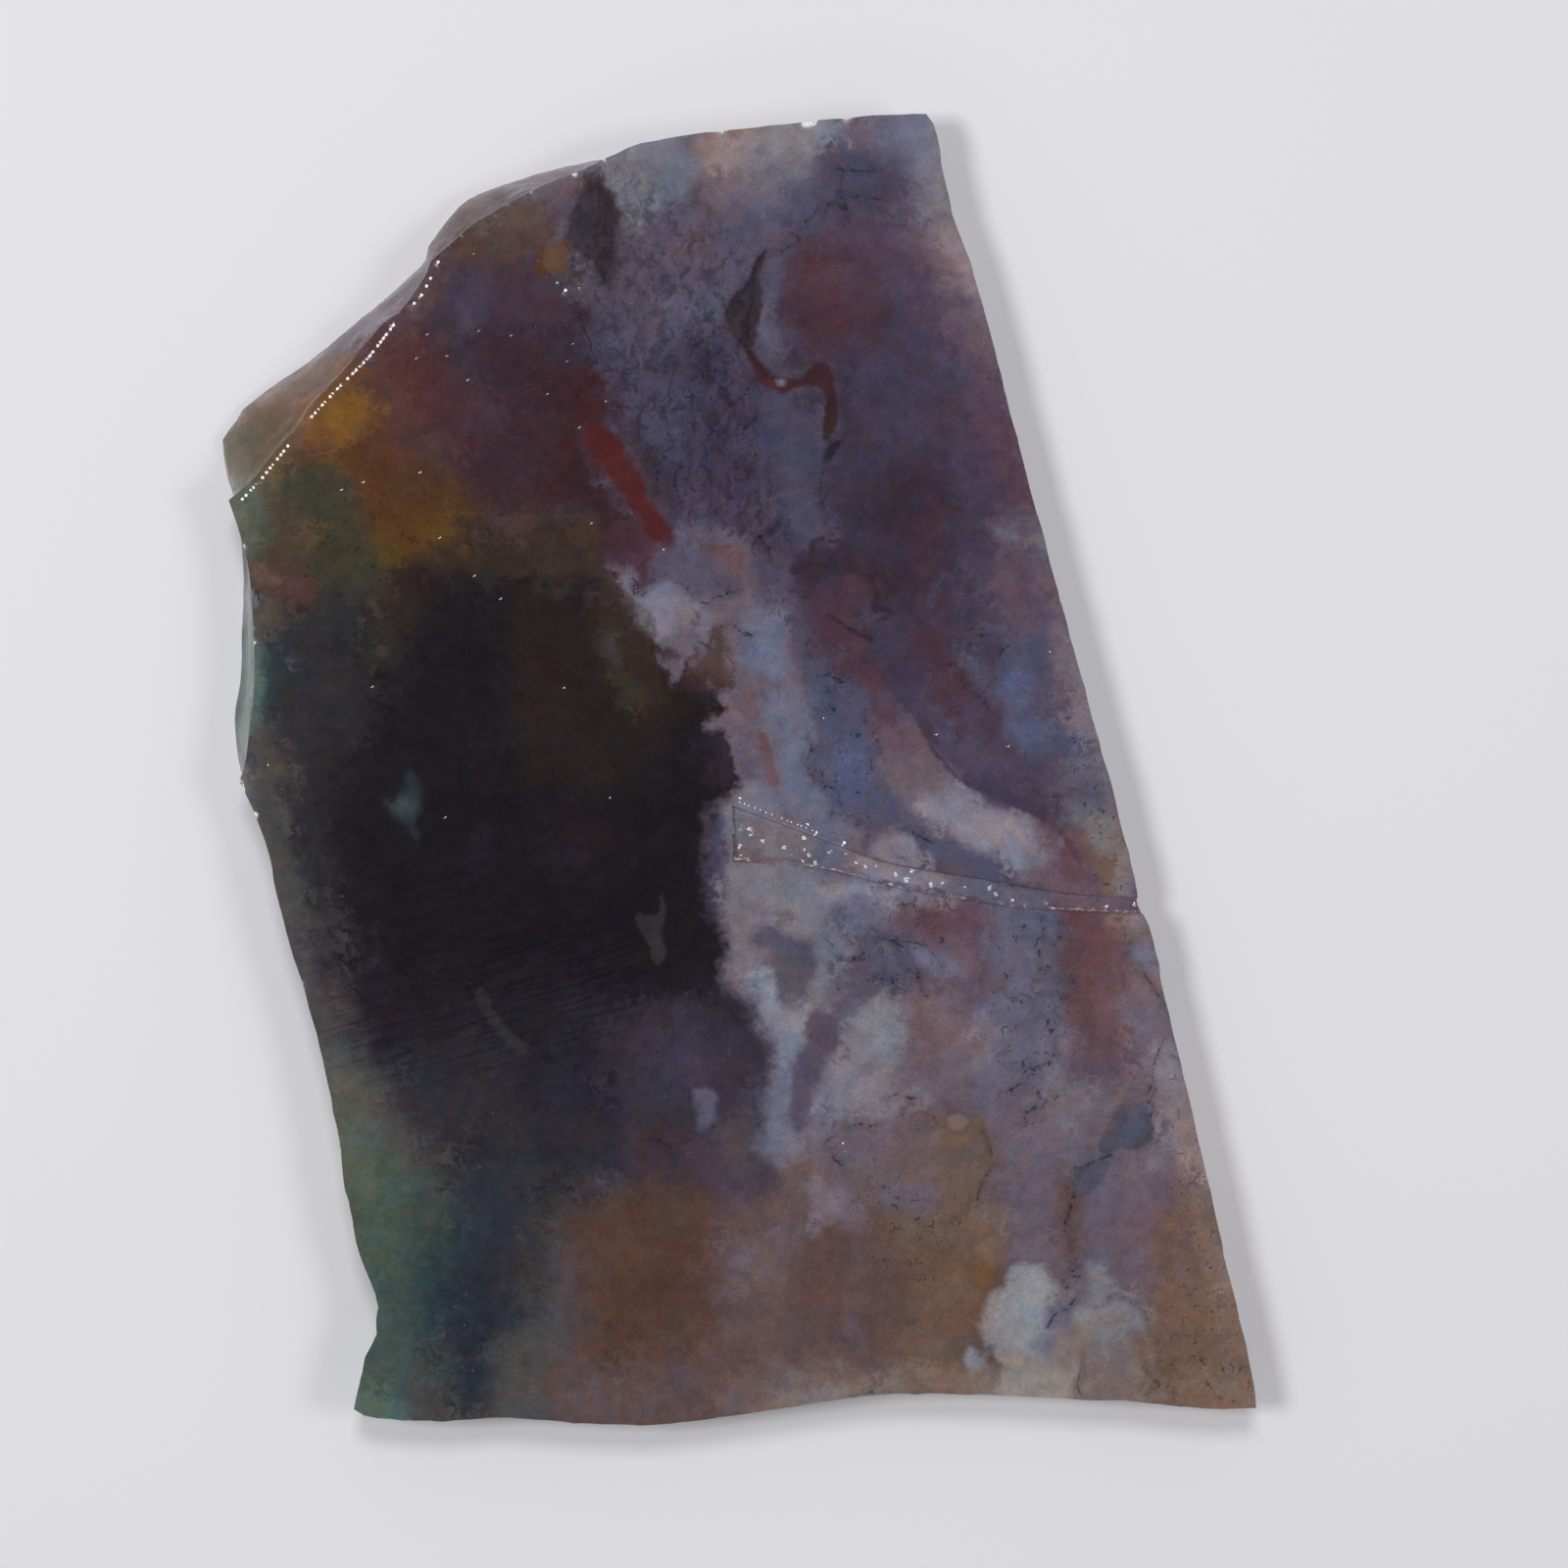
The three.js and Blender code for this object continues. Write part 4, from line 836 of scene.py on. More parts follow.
BOTTOM = [
    ("rose_grey", 2.0, 1.0, area((22, -30), (37, -31), (45, -38), (43, -46), (34, -48), (26, -46),
                                 (22, -42))),
    ("brown", 2.0, 1.0, area((-15, -41.6), (-11, -38.6), (-6, -37), (-3, -38.6), (-2, -43), (-0.4, -47),
                             (-1.6, -52), (-0.6, -57), (-3, -62), (-15, -62), (-13.8, -50))),
    ("umber", 2.0, 0.8, area((-9, -35.6), (-4, -35), (-1, -39), (-2, -50), (-6, -52), (-9, -44))),
    ("rose_brown", 2.0, 1.0, area((-2, -36), (6, -36), (14, -34), (22, -34), (25, -46), (24, -62), (-2, -62),
                                  (-3.4, -56), (-1.4, -51), (-2.8, -46), (-0.8, -42))),
    ("ochre_brown", 2.5, 0.15, area((-17, -42), (-7, -38), (-3, -44), (-7, -50), (-15, -50))),
    ("rose_tan", 1.6, 1.0, area((-0.6, -43.4), (3, -42.4), (6, -43.8), (4.4, -47.8), (0, -47.8))),
    ("rose_brown", 1.4, 0.6, area((6, -45), (14, -44), (15, -49), (9, -50), (6, -48))),
    ("brown", 1.2, 0.35, area((6.6, -45), (10, -45), (10, -49), (6, -49))),
    ("tan_brown", 1.8, 1.0, area((13.5, -40.6), (22.6, -40), (24, -46), (22, -52), (23, -57), (16, -57),
                                 (14.6, -52), (16, -46))),
    ("clay", 1.4, 0.5, area((17, -41), (21.4, -40.6), (23, -47), (21, -54), (17, -56), (16, -52), (18, -46))),
    ("rose_brown", 2.0, 0.9, area((-12, -54.6), (2, -53.6), (4, -62), (-18, -62), (-15, -56))),
    ("rose_tan", 1.4, 0.9, area((-0.6, -55.6), (10, -54), (14, -55.6), (14, -62), (-1, -62))),
    ("stone_tan", 1.2, 1.0, area((4, -56.6), (10, -56), (15, -55.4), (24, -55.4), (24, -61), (3, -61))),
    ("tan_brown", 1.0, 0.6, spot(19, -54.6, 2, 0.9)),
    ("rose_tan", 1.5, 1.0, area((12, -33), (22, -32.6), (23.4, -37), (20, -40), (13, -40.4), (2.6, -38.6),
                                (4, -35.8), (8, -34))),
    ("tan_brown", 1.2, 0.6, area((18.6, -33), (22.4, -32.6), (23.2, -36.6), (21.6, -38.8), (19, -36))),
    ("rose_grey", 1.2, 0.9, area((14, -37.6), (17, -37.4), (18, -39.4), (15.4, -40.4), (14, -39.6))),
    ("rose_grey", 1.0, 0.8, area((6.5, -33.6), (12, -32.5), (15.4, -32.5), (14, -35), (10, -37),
                                 (6.6, -36.6))),
    ("lilac_pale", 0.8, 0.8, area((6.6, -38.3), (9.6, -38.4), (10.8, -41), (8.6, -42.6), (6.8, -41.8),
                                  (7.4, -40.2))),
    ("rose_grey", 0.9, 0.8, spot(10.4, -40.6, 1.4, 2)),
    ("lilac", 0.8, 0.35, spot(12.2, -41.3, 0.8, 0.6)),
    ("mauve_pale", 0.9, 0.7, spot(4.6, -43, 0.9, 1.2, -40)),
    ("mauve_pale", 0.9, 0.5, spot(1.4, -45.6, 1.8, 1)),
    ("lilac", 0.9, 0.5, spot(10.8, -51.6, 1.1, 0.9)),
    ("silver", 0.9, 0.5, spot(6.2, -57.6, 1.8, 0.9)),
    ("grey_mauve", 1.2, 0.4, spot(-5, -56.6, 1, 1.4)),
    ("ochre", 0.8, 0.2, spot(6.3, -37, 1, 0.9)),
    ("clay_pale", 0.7, 0.5, area((19.5, -40), (22, -38.6), (23, -43), (21.5, -44.4), (20, -42))),
    ("ochre", 0.8, 0.6, spot(23.6, -46.9, 0.9, 1.4, -10)),
    ("clay_pale", 1.2, 0.8, area((15, -56.6), (20, -56), (22, -57.4), (20, -60), (15, -60))),
    ("clay", 1.8, 1.0, area((39, -39), (42.5, -38), (50, -60), (36, -61), (37, -50), (40.4, -45),
                            (39.6, -42))),
    ("wine_pale", 1.2, 0.9, area((37, -37.4), (40.4, -38), (41.6, -43), (40.8, -46), (38, -44),
                                 (36.6, -40.6))),
    ("clay", 1.2, 0.6, area((39, -42), (41.4, -42), (41, -49), (38, -54), (37.4, -50))),
    ("clay_pale", 1.4, 0.9, area((42.6, -40), (44.6, -40), (50, -60), (44, -61), (45.6, -52), (43.6, -46))),
    ("rose_grey", 1.5, 0.9, area((33, -38), (37, -36.6), (38, -41), (36.4, -47), (32.5, -44))),
    ("wine_pale", 1.5, 0.7, spot(36.4, -42, 1.8, 2.4)),
    ("rose_brown", 1.0, 0.8, band(2.6, (30.2, -37.4), (30.6, -41), (30.4, -44.6))),
    ("peach", 1.2, 0.5, spot(45.4, -46.6, 1, 1.6)),
    ("peach", 1.2, 1.0, area((38.4, -29.4), (41.8, -28), (44.6, -37.6), (42.4, -38.4), (39.6, -35.4),
                             (38.6, -32))),
    ("silver", 0.9, 1.0, area((31, -45.6), (33.4, -45.4), (35, -47.6), (35.4, -49), (33.4, -49.4),
                              (30.6, -48.4))),
    ("rose_grey", 0.9, 0.9, area((29.4, -45), (32, -44.8), (32, -48), (30, -47.6))),
    ("chalk", 1.2, 0.9, area((30, -49), (34, -50), (37, -49.6), (37, -52), (34.6, -54), (30.4, -55))),
    ("stone_tan", 1.4, 0.9, area((31.6, -53.8), (36, -53), (38.6, -56), (39, -60), (31, -60))),
    ("sand", 0.7, 0.7, spot(36.2, -52.2, 0.9, 1.1)),
    ("tan_brown", 1.0, 0.6, area((38, -55.6), (41.6, -55.6), (42, -60), (39, -60))),
]
LOWER_LEFT = [
    ("grey_dark", 3.0, 1.0, area((-42, -24), (-10, -30), (-13, -38), (-16.5, -42), (-16.5, -62), (-38, -62))),
    ("blue_dark", 2.4, 0.9, area((-30, -29), (-14, -31), (-14, -40), (-19, -44), (-21, -52), (-26, -50),
                                 (-27, -38))),
    ("navy", 1.6, 0.7, area((-24.6, -34), (-20.6, -35.6), (-19.6, -42), (-21, -47), (-24, -44),
                            (-24.6, -39))),
    ("teal", 2.0, 1.0, area((-38, -33), (-33, -33), (-29.6, -37), (-27.4, -42), (-29, -46.6), (-34, -49),
                            (-37, -44))),
    ("green", 1.6, 1.0, area((-39, -30), (-34.4, -31), (-32.6, -36), (-32, -42), (-34, -47), (-38, -42))),
    ("green_pale", 1.5, 0.6, area((-39, -27), (-35.6, -28), (-34.4, -34), (-35, -41), (-38, -42))),
    ("green_grey", 1.6, 0.8, area((-29.6, -38), (-26.4, -38), (-25, -43), (-27, -46), (-30, -43))),
    ("grey_dark", 1.6, 0.7, area((-33.6, -27.6), (-29, -29.6), (-27.4, -33.6), (-31.6, -36), (-33.6, -32))),
    ("teal_dark", 2.0, 0.9, area((-31, -46.6), (-27.6, -43), (-24.6, -42), (-25, -48), (-27, -56), (-29, -54),
                                 (-30, -50))),
    ("navy", 2.0, 1.0, area((-26.4, -46), (-23, -43), (-20.6, -46), (-21.6, -54), (-23.4, -59), (-26, -58),
                            (-26.4, -52))),
    ("teal", 1.2, 0.7, area((-34, -48.4), (-31.6, -48.6), (-30.6, -52), (-31, -57), (-36, -57.5))),
    ("teal_mid", 1.2, 0.8, area((-31.4, -47), (-29.4, -47), (-29, -56), (-31.4, -57.5), (-32, -53))),
    ("teal_pale", 1.2, 0.9, area((-37, -62), (-35, -56.4), (-31.8, -56.6), (-30.6, -58.4), (-30.4, -63))),
    ("grey_dark", 1.4, 0.7, area((-21, -53), (-15.4, -53), (-15, -63), (-22, -63))),
    ("blue_dark", 1.2, 0.5, area((-22, -44), (-17.6, -43), (-17, -49), (-20, -50))),
    ("umber", 1.2, 0.6, area((-15.6, -40), (-13, -39), (-12.4, -52), (-15.2, -53))),
    ("rose_brown", 1.4, 0.8, area((-17, -54), (-13, -54), (-12, -63), (-17, -63))),
    ("silver_blue", 1.0, 0.6, area((2.4, -32), (6, -31.8), (6.4, -36), (4.4, -36.4), (2.2, -35.2))),
    ("lilac_pale", 0.9, 0.7, spot(5, -34.9, 1.1, 1.2)),
    ("blush", 1.0, 0.6, spot(7.2, -33, 1, 0.9)),
    ("rose_tan", 1.0, 0.6, area((2.4, -36.8), (6, -36.6), (6.4, -40.2), (0.4, -40.2), (0.8, -38.4))),
    ("lilac_pale", 0.8, 0.6, spot(7.4, -38.9, 0.9, 0.8)),
    ("lilac", 0.8, 0.5, spot(3.4, -26.4, 0.9, 2)),
    ("frost", 0.7, 0.6, spot(1.2, -20.8, 0.8, 1.4)),
]

# Smaller places along the right edge, from the bend of the edge to the lower corner
RIGHT_EDGE = [
    ("grey_stone", 0.9, 0.7, area((31.4, -4.6), (35.4, -4), (37, -11.4), (34.8, -11.2), (34.4, -9),
                                  (32.8, -6.8))),
    ("clay", 0.5, 0.8, band(0.9, (30.8, -6), (32.4, -7.2), (33.6, -8.8), (34.3, -10.4), (34.5, -12.4),
                            (35, -13.8))),
    ("peach", 0.8, 0.8, area((35.4, -12.8), (37.6, -12.9), (38.2, -15.6), (36.6, -15.4), (35.6, -14.2))),
    ("clay_pale", 0.5, 0.6, band(1, (35.1, -13.6), (36, -15.4), (37.4, -15.8))),
    ("silver_blue", 0.6, 0.8, spot(37.4, -16.9, 0.9, 0.7, 20)),
    ("ash_pink", 0.8, 0.8, area((37.4, -17.8), (38.8, -17.6), (39.6, -20.6), (38.2, -19.6))),
    ("pink_grey", 0.6, 0.9, area((39.8, -25), (40.6, -25.2), (41, -27.2), (40, -28.6), (38.6, -29),
                                 (38.4, -27.4), (39, -26))),
    ("ash_pink", 0.8, 0.8, spot(38.2, -36.2, 1.1, 0.8)),
    ("ash_pink", 1.2, 0.8, area((29.4, -28.4), (31.6, -28.6), (32.4, -30.6), (31, -33), (29.2, -32.4))),
    ("frost", 1.0, 0.6, area((25.6, -14.4), (28.4, -14.6), (29.4, -18.8), (27.4, -20), (25.8, -18))),
    ("pink_grey", 0.9, 0.8, area((25, -6.4), (28, -6), (29, -8), (28, -9.6), (26, -9.4))),
    ("rose_grey", 0.8, 0.8, spot(26.8, 22.8, 0.9, 1.4)),
    ("clay_pale", 0.8, 0.8, area((40.6, -54.8), (43.8, -54.8), (44, -58.4), (40.2, -58.4))),
    ("clay_pale", 1.0, 0.7, spot(42.6, -41.6, 1.3, 1.8)),
]

# Smaller places near the top and the left edge
TOP_EDGE = [
    ("scar_pink", 1.0, 1.0, area((18, 50.6), (20.4, 50.4), (22, 46), (22.4, 43.6), (20.6, 44.6), (19.6, 47))),
    ("silver", 0.9, 0.7, area((16.6, 52.4), (19.8, 52.8), (20, 51), (17, 50.8))),
    ("silver_blue", 0.8, 0.8, area((-11.2, 53.4), (-8.4, 52), (-8, 50.4), (-9.6, 50), (-10.8, 51))),
    ("grey_mauve", 0.8, 0.7, spot(-15.2, 51.4, 1, 1.2)),
    ("rose_tan", 0.8, 0.8, area((-24, 51.4), (-22, 52), (-21.6, 50.4), (-23.4, 49.4))),
    ("maroon_dark", 0.6, 0.6, area((1.6, 37.4), (3, 36.8), (5.2, 35.4), (4.6, 34.6), (2.6, 35.2),
                                   (1.4, 36.8))),
    ("slate", 0.9, 0.7, area((-14.2, 38), (-13, 39), (-10.6, 38.6), (-9, 37.2), (-11.4, 36.4),
                             (-13.4, 36.8))),
    ("blue_lilac", 0.9, 0.8, spot(-2.4, 42, 1.3, 1.1)),
    ("blue_grey", 1.6, 0.4, spot(-8, 40, 2.4, 2.4)),
    ("copper", 0.8, 0.6, spot(-35, 36.2, 1.6, 1, 40)),
    ("tan_brown", 0.8, 0.8, spot(-43.6, 18, 0.9, 1.3)),
]

# Smaller places in the middle, round the scar and below it
ROUND_SCAR = [
    ("slate", 0.8, 0.6, band(1.6, (2.8, 18.6), (3.4, 16.4), (4.6, 14.4), (5.6, 12.6))),
    ("ash_pink", 0.9, 0.9, spot(15.8, -30, 1.6, 1.4)),
    ("silver", 0.7, 0.8, spot(4.4, -13.6, 1.3, 0.8)),
    # Partly painted highlight: pale stone in and below the scar's lower part, made lighter where the scar's
    # glints shine
    ("wedge_pale", 0.9, 0.8, area((8.2, -10.2), (13.2, -10.6), (20.2, -11.6), (19.6, -12.6), (13.4, -12),
                                  (8.4, -11.8))),
    ("pink_grey", 0.6, 0.8, area((13.6, -6.8), (15, -5.8), (16.4, -7.4), (16.6, -9.4), (13.8, -8.8))),
    ("grey_green", 1.2, 0.6, area((-0.6, -8.4), (6, -9), (6.2, -12), (0, -12.6))),
    ("grey_dark", 1.0, 0.2, spot(4.2, -10, 1.6, 1)),
    ("pink_brown", 1.4, 0.8, spot(20, -28, 1.8, 1.8)),
    ("pink_grey", 1.2, 0.6, spot(12.2, -30.4, 1.8, 2.2)),
    ("mauve_pale", 0.8, 0.8, spot(14, -17.2, 1, 1)),
    ("wedge_pale", 0.8, 0.7, spot(9.4, -28.4, 0.9, 1.2)),
    ("silver_blue", 0.8, 0.9, area((6.8, -16.2), (10.2, -16.4), (10, -18.2), (7.4, -18))),
    ("lilac_pale", 0.8, 0.7, spot(7.6, -33.4, 0.9, 1)),
    ("lilac_pale", 0.8, 0.7, spot(7.8, -39.8, 1.1, 1)),
    ("lilac_pale", 0.9, 0.7, spot(23.6, -23.6, 1, 1.1)),
    ("stone_tan", 0.9, 0.7, spot(23.8, -41.2, 0.9, 1)),
    ("grey_stone", 0.8, 0.8, spot(31.8, -57.2, 1, 1.1)),
]
GROUND = (UPPER_LEFT + LEFT_SIDE + UPPER_MIDDLE + RIGHT_SIDE + LOWER_MIDDLE + MIDDLE + PALE_STREAK + BOTTOM
          + LOWER_LEFT + RIGHT_EDGE + TOP_EDGE + ROUND_SCAR)

# The dark mass in the left half. It ends in a sharp shore on its right, where the pale colours start.
DARK = [
    ("black", 2.6, 1.0, area((-34, 14), (-30, 17.5), (-24, 18), (-18, 19), (-13, 16.5), (-6, 10), (4, 4),
                             (5, -8), (5, -22), (4, -26), (-8, -24), (-22, -24), (-33, -22), (-38, -16),
                             (-41, -6), (-40, 4), (-37, 8))),
    ("ash_dark", 2.2, 0.9, area((-42, 14), (-36, 12), (-32.6, 8), (-35, 2), (-37, -4), (-37, -12), (-40, -14),
                                (-43, -6), (-42.6, 4))),
    ("moss", 1.6, 0.4, area((-35, 16), (-31, 15), (-30.6, 10), (-34, 9))),
    ("grey_dark", 1.2, 0.8, area((-44, 4), (-41.6, 2), (-40.6, -8), (-39.4, -15), (-42, -14), (-44, -6))),
    ("black_brown", 1.6, 0.9, area((-20.6, 16), (-17, 14), (-16.6, 2), (-18, -2), (-20.4, 4), (-20.6, 10))),
    ("black_brown", 3.0, 0.9, area((-19, 16), (-12, 15), (-4, 8), (-6, 2), (-14, -2), (-19, 4))),
    ("brown_dark", 1.4, 0.8, area((-11.6, 18.6), (-9.6, 15.6), (-8, 12.6), (-6, 8.4), (-8, 5.6), (-11, 8),
                                  (-13, 13))),
    ("umber", 0.8, 0.9, area((-4.4, 9.4), (-2.2, 13.4), (-0.4, 10), (0, 8), (-1.6, 7), (-3.6, 8))),
    ("bark", 0.6, 0.4, area((-3.6, 11), (-2.2, 13), (-1, 11), (-1.4, 8.6), (-2.8, 8.8))),
    ("maroon_dark", 0.7, 0.6, spot(-2.2, 7.6, 1.4, 0.8)),
    ("maroon_dark", 0.8, 0.8, spot(-4.4, 8.2, 0.9, 1.4)),
    ("plum_dark", 1.2, 0.8, area((-2.4, 3.4), (-0.4, 3), (0.8, 0.4), (0, -1.6), (-1.4, -1.6), (-2.4, 0.6))),
    ("brown_dark", 2.0, 0.5, spot(-30.4, 15.4, 2.4, 2.2)),
    ("grey_dark", 0.9, 0.5, spot(-11.4, 11.2, 0.8, 1.7, 20)),
    ("green_dark", 1.2, 0.8, spot(-9.8, 7.6, 1.2, 1)),
    ("grey_dark", 0.7, 0.35, spot(-10.2, 6, 0.7, 0.6)),
    ("grey_dark", 0.8, 0.35, spot(-22.8, 17.4, 0.7, 1)),
    ("brown_dark", 1.0, 0.9, area((-22, 20), (-12, 20), (-11.6, 17.8), (-17, 17), (-22, 17.4))),
    ("grey_dark", 1.4, 0.7, area((-38, -20), (-34, -20), (-31, -28), (-34, -31), (-37, -27))),
    ("maroon_dark", 1.5, 0.35, spot(-14.5, -6, 2.4, 2)),
    ("violet_deep", 1.5, 0.35, spot(-15.6, -8, 1.6, 1)),
    ("violet_deep", 1.5, 0.3, spot(-23.4, -8, 1, 1.8)),
    ("black_violet", 3.0, 1.0, area((-40, -14), (-30, -19), (-16, -19), (-4, -21), (0, -19), (6, -22),
                                    (6, -33), (-6, -36.5), (-16, -37), (-26, -34), (-31, -29), (-36, -24))),
    ("violet_dark", 2.5, 0.9, area((-12, -23), (-8, -22), (-2, -21), (8, -26), (6, -35), (-6, -36.5),
                                   (-11, -34))),
    ("slate_dark", 1.8, 0.5, area((-9, -24), (-2, -23), (1, -28), (-2, -32), (-8, -31))),
    ("blue_dark", 1.8, 0.7, area((-31, -27), (-25, -24.6), (-20, -26), (-20, -32), (-26, -34), (-31, -32))),
    ("navy", 1.6, 0.6, area((-19.6, -19.6), (-15, -21), (-14.6, -30), (-17, -31.6), (-18.6, -26))),
    ("grey_dark", 1.6, 0.7, area((-43, -6), (-40.5, -9), (-36.5, -26), (-33.5, -32), (-39, -31), (-42, -18),
                                 (-45, -6))),
    ("green_pale", 1.6, 0.6, area((-38, -27), (-35, -27), (-32.6, -31), (-34, -34), (-37, -32))),
    ("plum", 1.8, 0.9, area((-9, -33), (-4, -32), (3, -30), (4, -38), (-4, -39), (-10, -37))),
    ("heather", 1.2, 0.8, area((-3, -34), (1, -32.6), (3, -36), (2.4, -39), (-3, -38.6))),
    ("ash_violet", 0.8, 0.6, band(1.6, (2, -29), (2.2, -32), (2.4, -34.6))),
    ("purple_grey", 2.0, 0.4, spot(-5, -27.5, 2.6, 2.6)),
    ("blue_dark", 2.0, 0.5, spot(-7, -31.5, 2, 2)),
    ("grey_dark", 1.6, 0.6, area((-38, -14), (-36, -14), (-34.6, -22), (-33, -28), (-36, -28))),
    ("black", 1.4, 0.5, area((-21, -18.4), (-15.6, -18.6), (-16.4, -24), (-19.6, -24.4), (-20.4, -21))),
    ("blue_dark", 1.4, 0.6, area((-21, -32.6), (-12, -32.6), (-12.4, -37), (-20.4, -37.4))),
    ("brown_dark", 1.4, 0.5, spot(-17, -40.6, 1.2, 2)),
    ("brown", 1.4, 0.5, area((-15, -40.6), (-12, -38.8), (-8.4, -37.4), (-4.4, -37.4), (-3.4, -41),
                             (-15, -42))),
    ("grey_dark", 1.4, 0.5, area((-2, -32.4), (2, -32.4), (2.4, -37.4), (-1.6, -37.4))),
]
SHORE = [
    area((-36, 17.6), (-28, 18.6), (-20, 17.6), (-14, 18.2), (-11.2, 18), (-10.9, 17.2), (-10.6, 16.4),
         (-10.1, 15.6), (-9, 15.2), (-8.4, 14.4), (-7.7, 13.8), (-7.4, 13), (-7.2, 12), (-7, 11), (-6.9, 10),
         (-6.4, 9.2), (-5.8, 8.5), (-5.3, 8), (-5, 8.5), (-4.8, 9.2), (-4.6, 10.2), (-3.9, 11.2),
         (-2.9, 12.2), (-2.1, 13), (-1.3, 12.4), (-0.8, 11.5), (-0.3, 10.7), (0, 9.8), (0.1, 8.8),
         (-0.1, 7.8), (-0.8, 7.2), (-1.5, 6.8), (-1, 6), (-0.9, 5.5), (-1.6, 5), (-2.1, 4.4), (-2.6, 3.9),
         (-2.3, 3.4), (-1.3, 3.5), (-1.2, 2.9), (-0.9, 2.4), (-0.5, 1.6), (-0.1, 0.6), (0.2, -0.4), (0, -1.3),
         (-0.6, -2), (-1.4, -2.8), (-2.1, -3.8), (-2.5, -5.2), (-2.7, -6.8), (-2.7, -8.4), (-2.7, -10),
         (-2.5, -12), (-1.8, -13.4), (-1.1, -15), (-0.9, -16.6), (-0.8, -18), (-0.8, -19.4), (-0.2, -20.4),
         (0.6, -21.1), (1.6, -22.2), (2.1, -23.4), (2.7, -24.5), (3.2, -26), (3.2, -27.4), (3, -28.5),
         (2.8, -29.6), (2.8, -31.5), (2.6, -33), (1.9, -34.4), (2.4, -35.6), (4, -38), (5, -46), (-14, -46),
         (-48, -44), (-54, -10), (-50, 14)),
]

# Patches with sharp edges over all of that: their shapes, and the colours in them.
FIGURES = {
    "white patch": area((23.4, -48.6), (24.8, -47.6), (25.6, -46.2), (27, -45.4), (28.6, -45.8),
                        (29.6, -47.4), (31, -48.4), (32, -49.6), (34, -49), (36, -49.2), (36.4, -50.6),
                        (34.6, -51.6), (34, -53.4), (31.8, -54), (31.2, -57), (30, -60), (25, -60),
                        (24.2, -56.6), (24.2, -54.4), (23, -53), (22.4, -51)),
    "small white": area((20.8, -54.4), (21.6, -53.4), (22.8, -54.2), (22.6, -55.4), (21.2, -55.4)),
    "grey island": area((1.4, -15.1), (1.9, -14.9), (3.4, -14.8), (4.6, -15), (5.6, -15.8), (7, -16.2),
                        (7, -17), (7.2, -18.6), (6.6, -20), (6.2, -21), (5, -21.8), (4, -21.4), (3.7, -20.6),
                        (4.3, -19.4), (3.7, -18.6), (3, -17.8), (3.2, -16.8), (2.2, -16.3), (1.6, -15.8)),
    "dark strip": area((6.8, -22.6), (7.4, -22.3), (8.4, -22.6), (9.4, -22.8), (9.6, -24), (9.8, -25),
                       (9, -25.8), (8.2, -26.8), (7.8, -28), (7.2, -29.6), (7.2, -30.8), (6.6, -31.4),
                       (6.6, -32.8), (5.8, -33), (5.3, -31.4), (5, -29.6), (5.2, -28), (5.6, -26.2),
                       (6.6, -25.2), (6.6, -24)),
    "upper strip": area((9, -22), (10.2, -20.8), (11, -20), (12.6, -19.6), (14, -20), (13, -20.8),
                        (12, -21.8), (11.2, -23), (10.2, -22.6)),
    "lilac oval": area((-3.8, -29.4), (-2.8, -28.9), (-1.8, -29.4), (-1.8, -31), (-2, -32.4), (-2.8, -33.1),
                       (-3.5, -32.4), (-3.8, -31)),
    "teal wisp": area((-30.3, -0.4), (-29.4, -0.8), (-28.7, -2.4), (-29.2, -4.2), (-29.7, -5.3),
                      (-28.8, -6.6), (-29.2, -7.2), (-30.6, -5.8), (-32.2, -4.2), (-32.1, -3), (-31, -2.6),
                      (-30.5, -1.6)),
    "red streak": area((-13.4, 31.8), (-12.4, 32.2), (-11.4, 31.2), (-10.4, 30), (-10, 28.4), (-9.2, 27.2),
                       (-8.2, 26.4), (-7.9, 25), (-7.2, 23.8), (-6.2, 22.8), (-5.5, 21.6), (-6, 20.8),
                       (-7.4, 21.2), (-8.6, 22.2), (-9.4, 23.6), (-10.2, 25), (-11, 26.4), (-12, 27.8),
                       (-13.2, 29.2), (-13.6, 30.6)),
    "dark smear": area((-12.8, 54), (-13.4, 53.2), (-14.3, 52.3), (-15.4, 50.6), (-15.6, 48.8), (-14.4, 47.4),
                       (-13.2, 46.2), (-12.4, 45.2), (-11.9, 44.4), (-11.1, 45.7), (-10.9, 47.5), (-10.7, 49),
                       (-10.7, 51.8), (-11.3, 53), (-12, 53.8), (-12.6, 54.4)),
    "pale bits": area((-14.3, 46.9), (-13.6, 46.9), (-13.3, 46), (-13.9, 46)),
    "lilac spall": area((15.7, -15.8), (17.5, -16.2), (19, -17.2), (21, -18), (20.8, -19), (19, -19.1),
                        (17.5, -18.5), (16.5, -17.5)),
    "white lens": area((38.3, -26), (39.6, -25), (40.2, -26), (41.2, -29), (39.4, -29.4), (38.4, -28)),
    "blue lens": area((36.2, -16.6), (37.4, -15.8), (38.4, -16.6), (38.2, -17.8), (37, -17.4)),
}
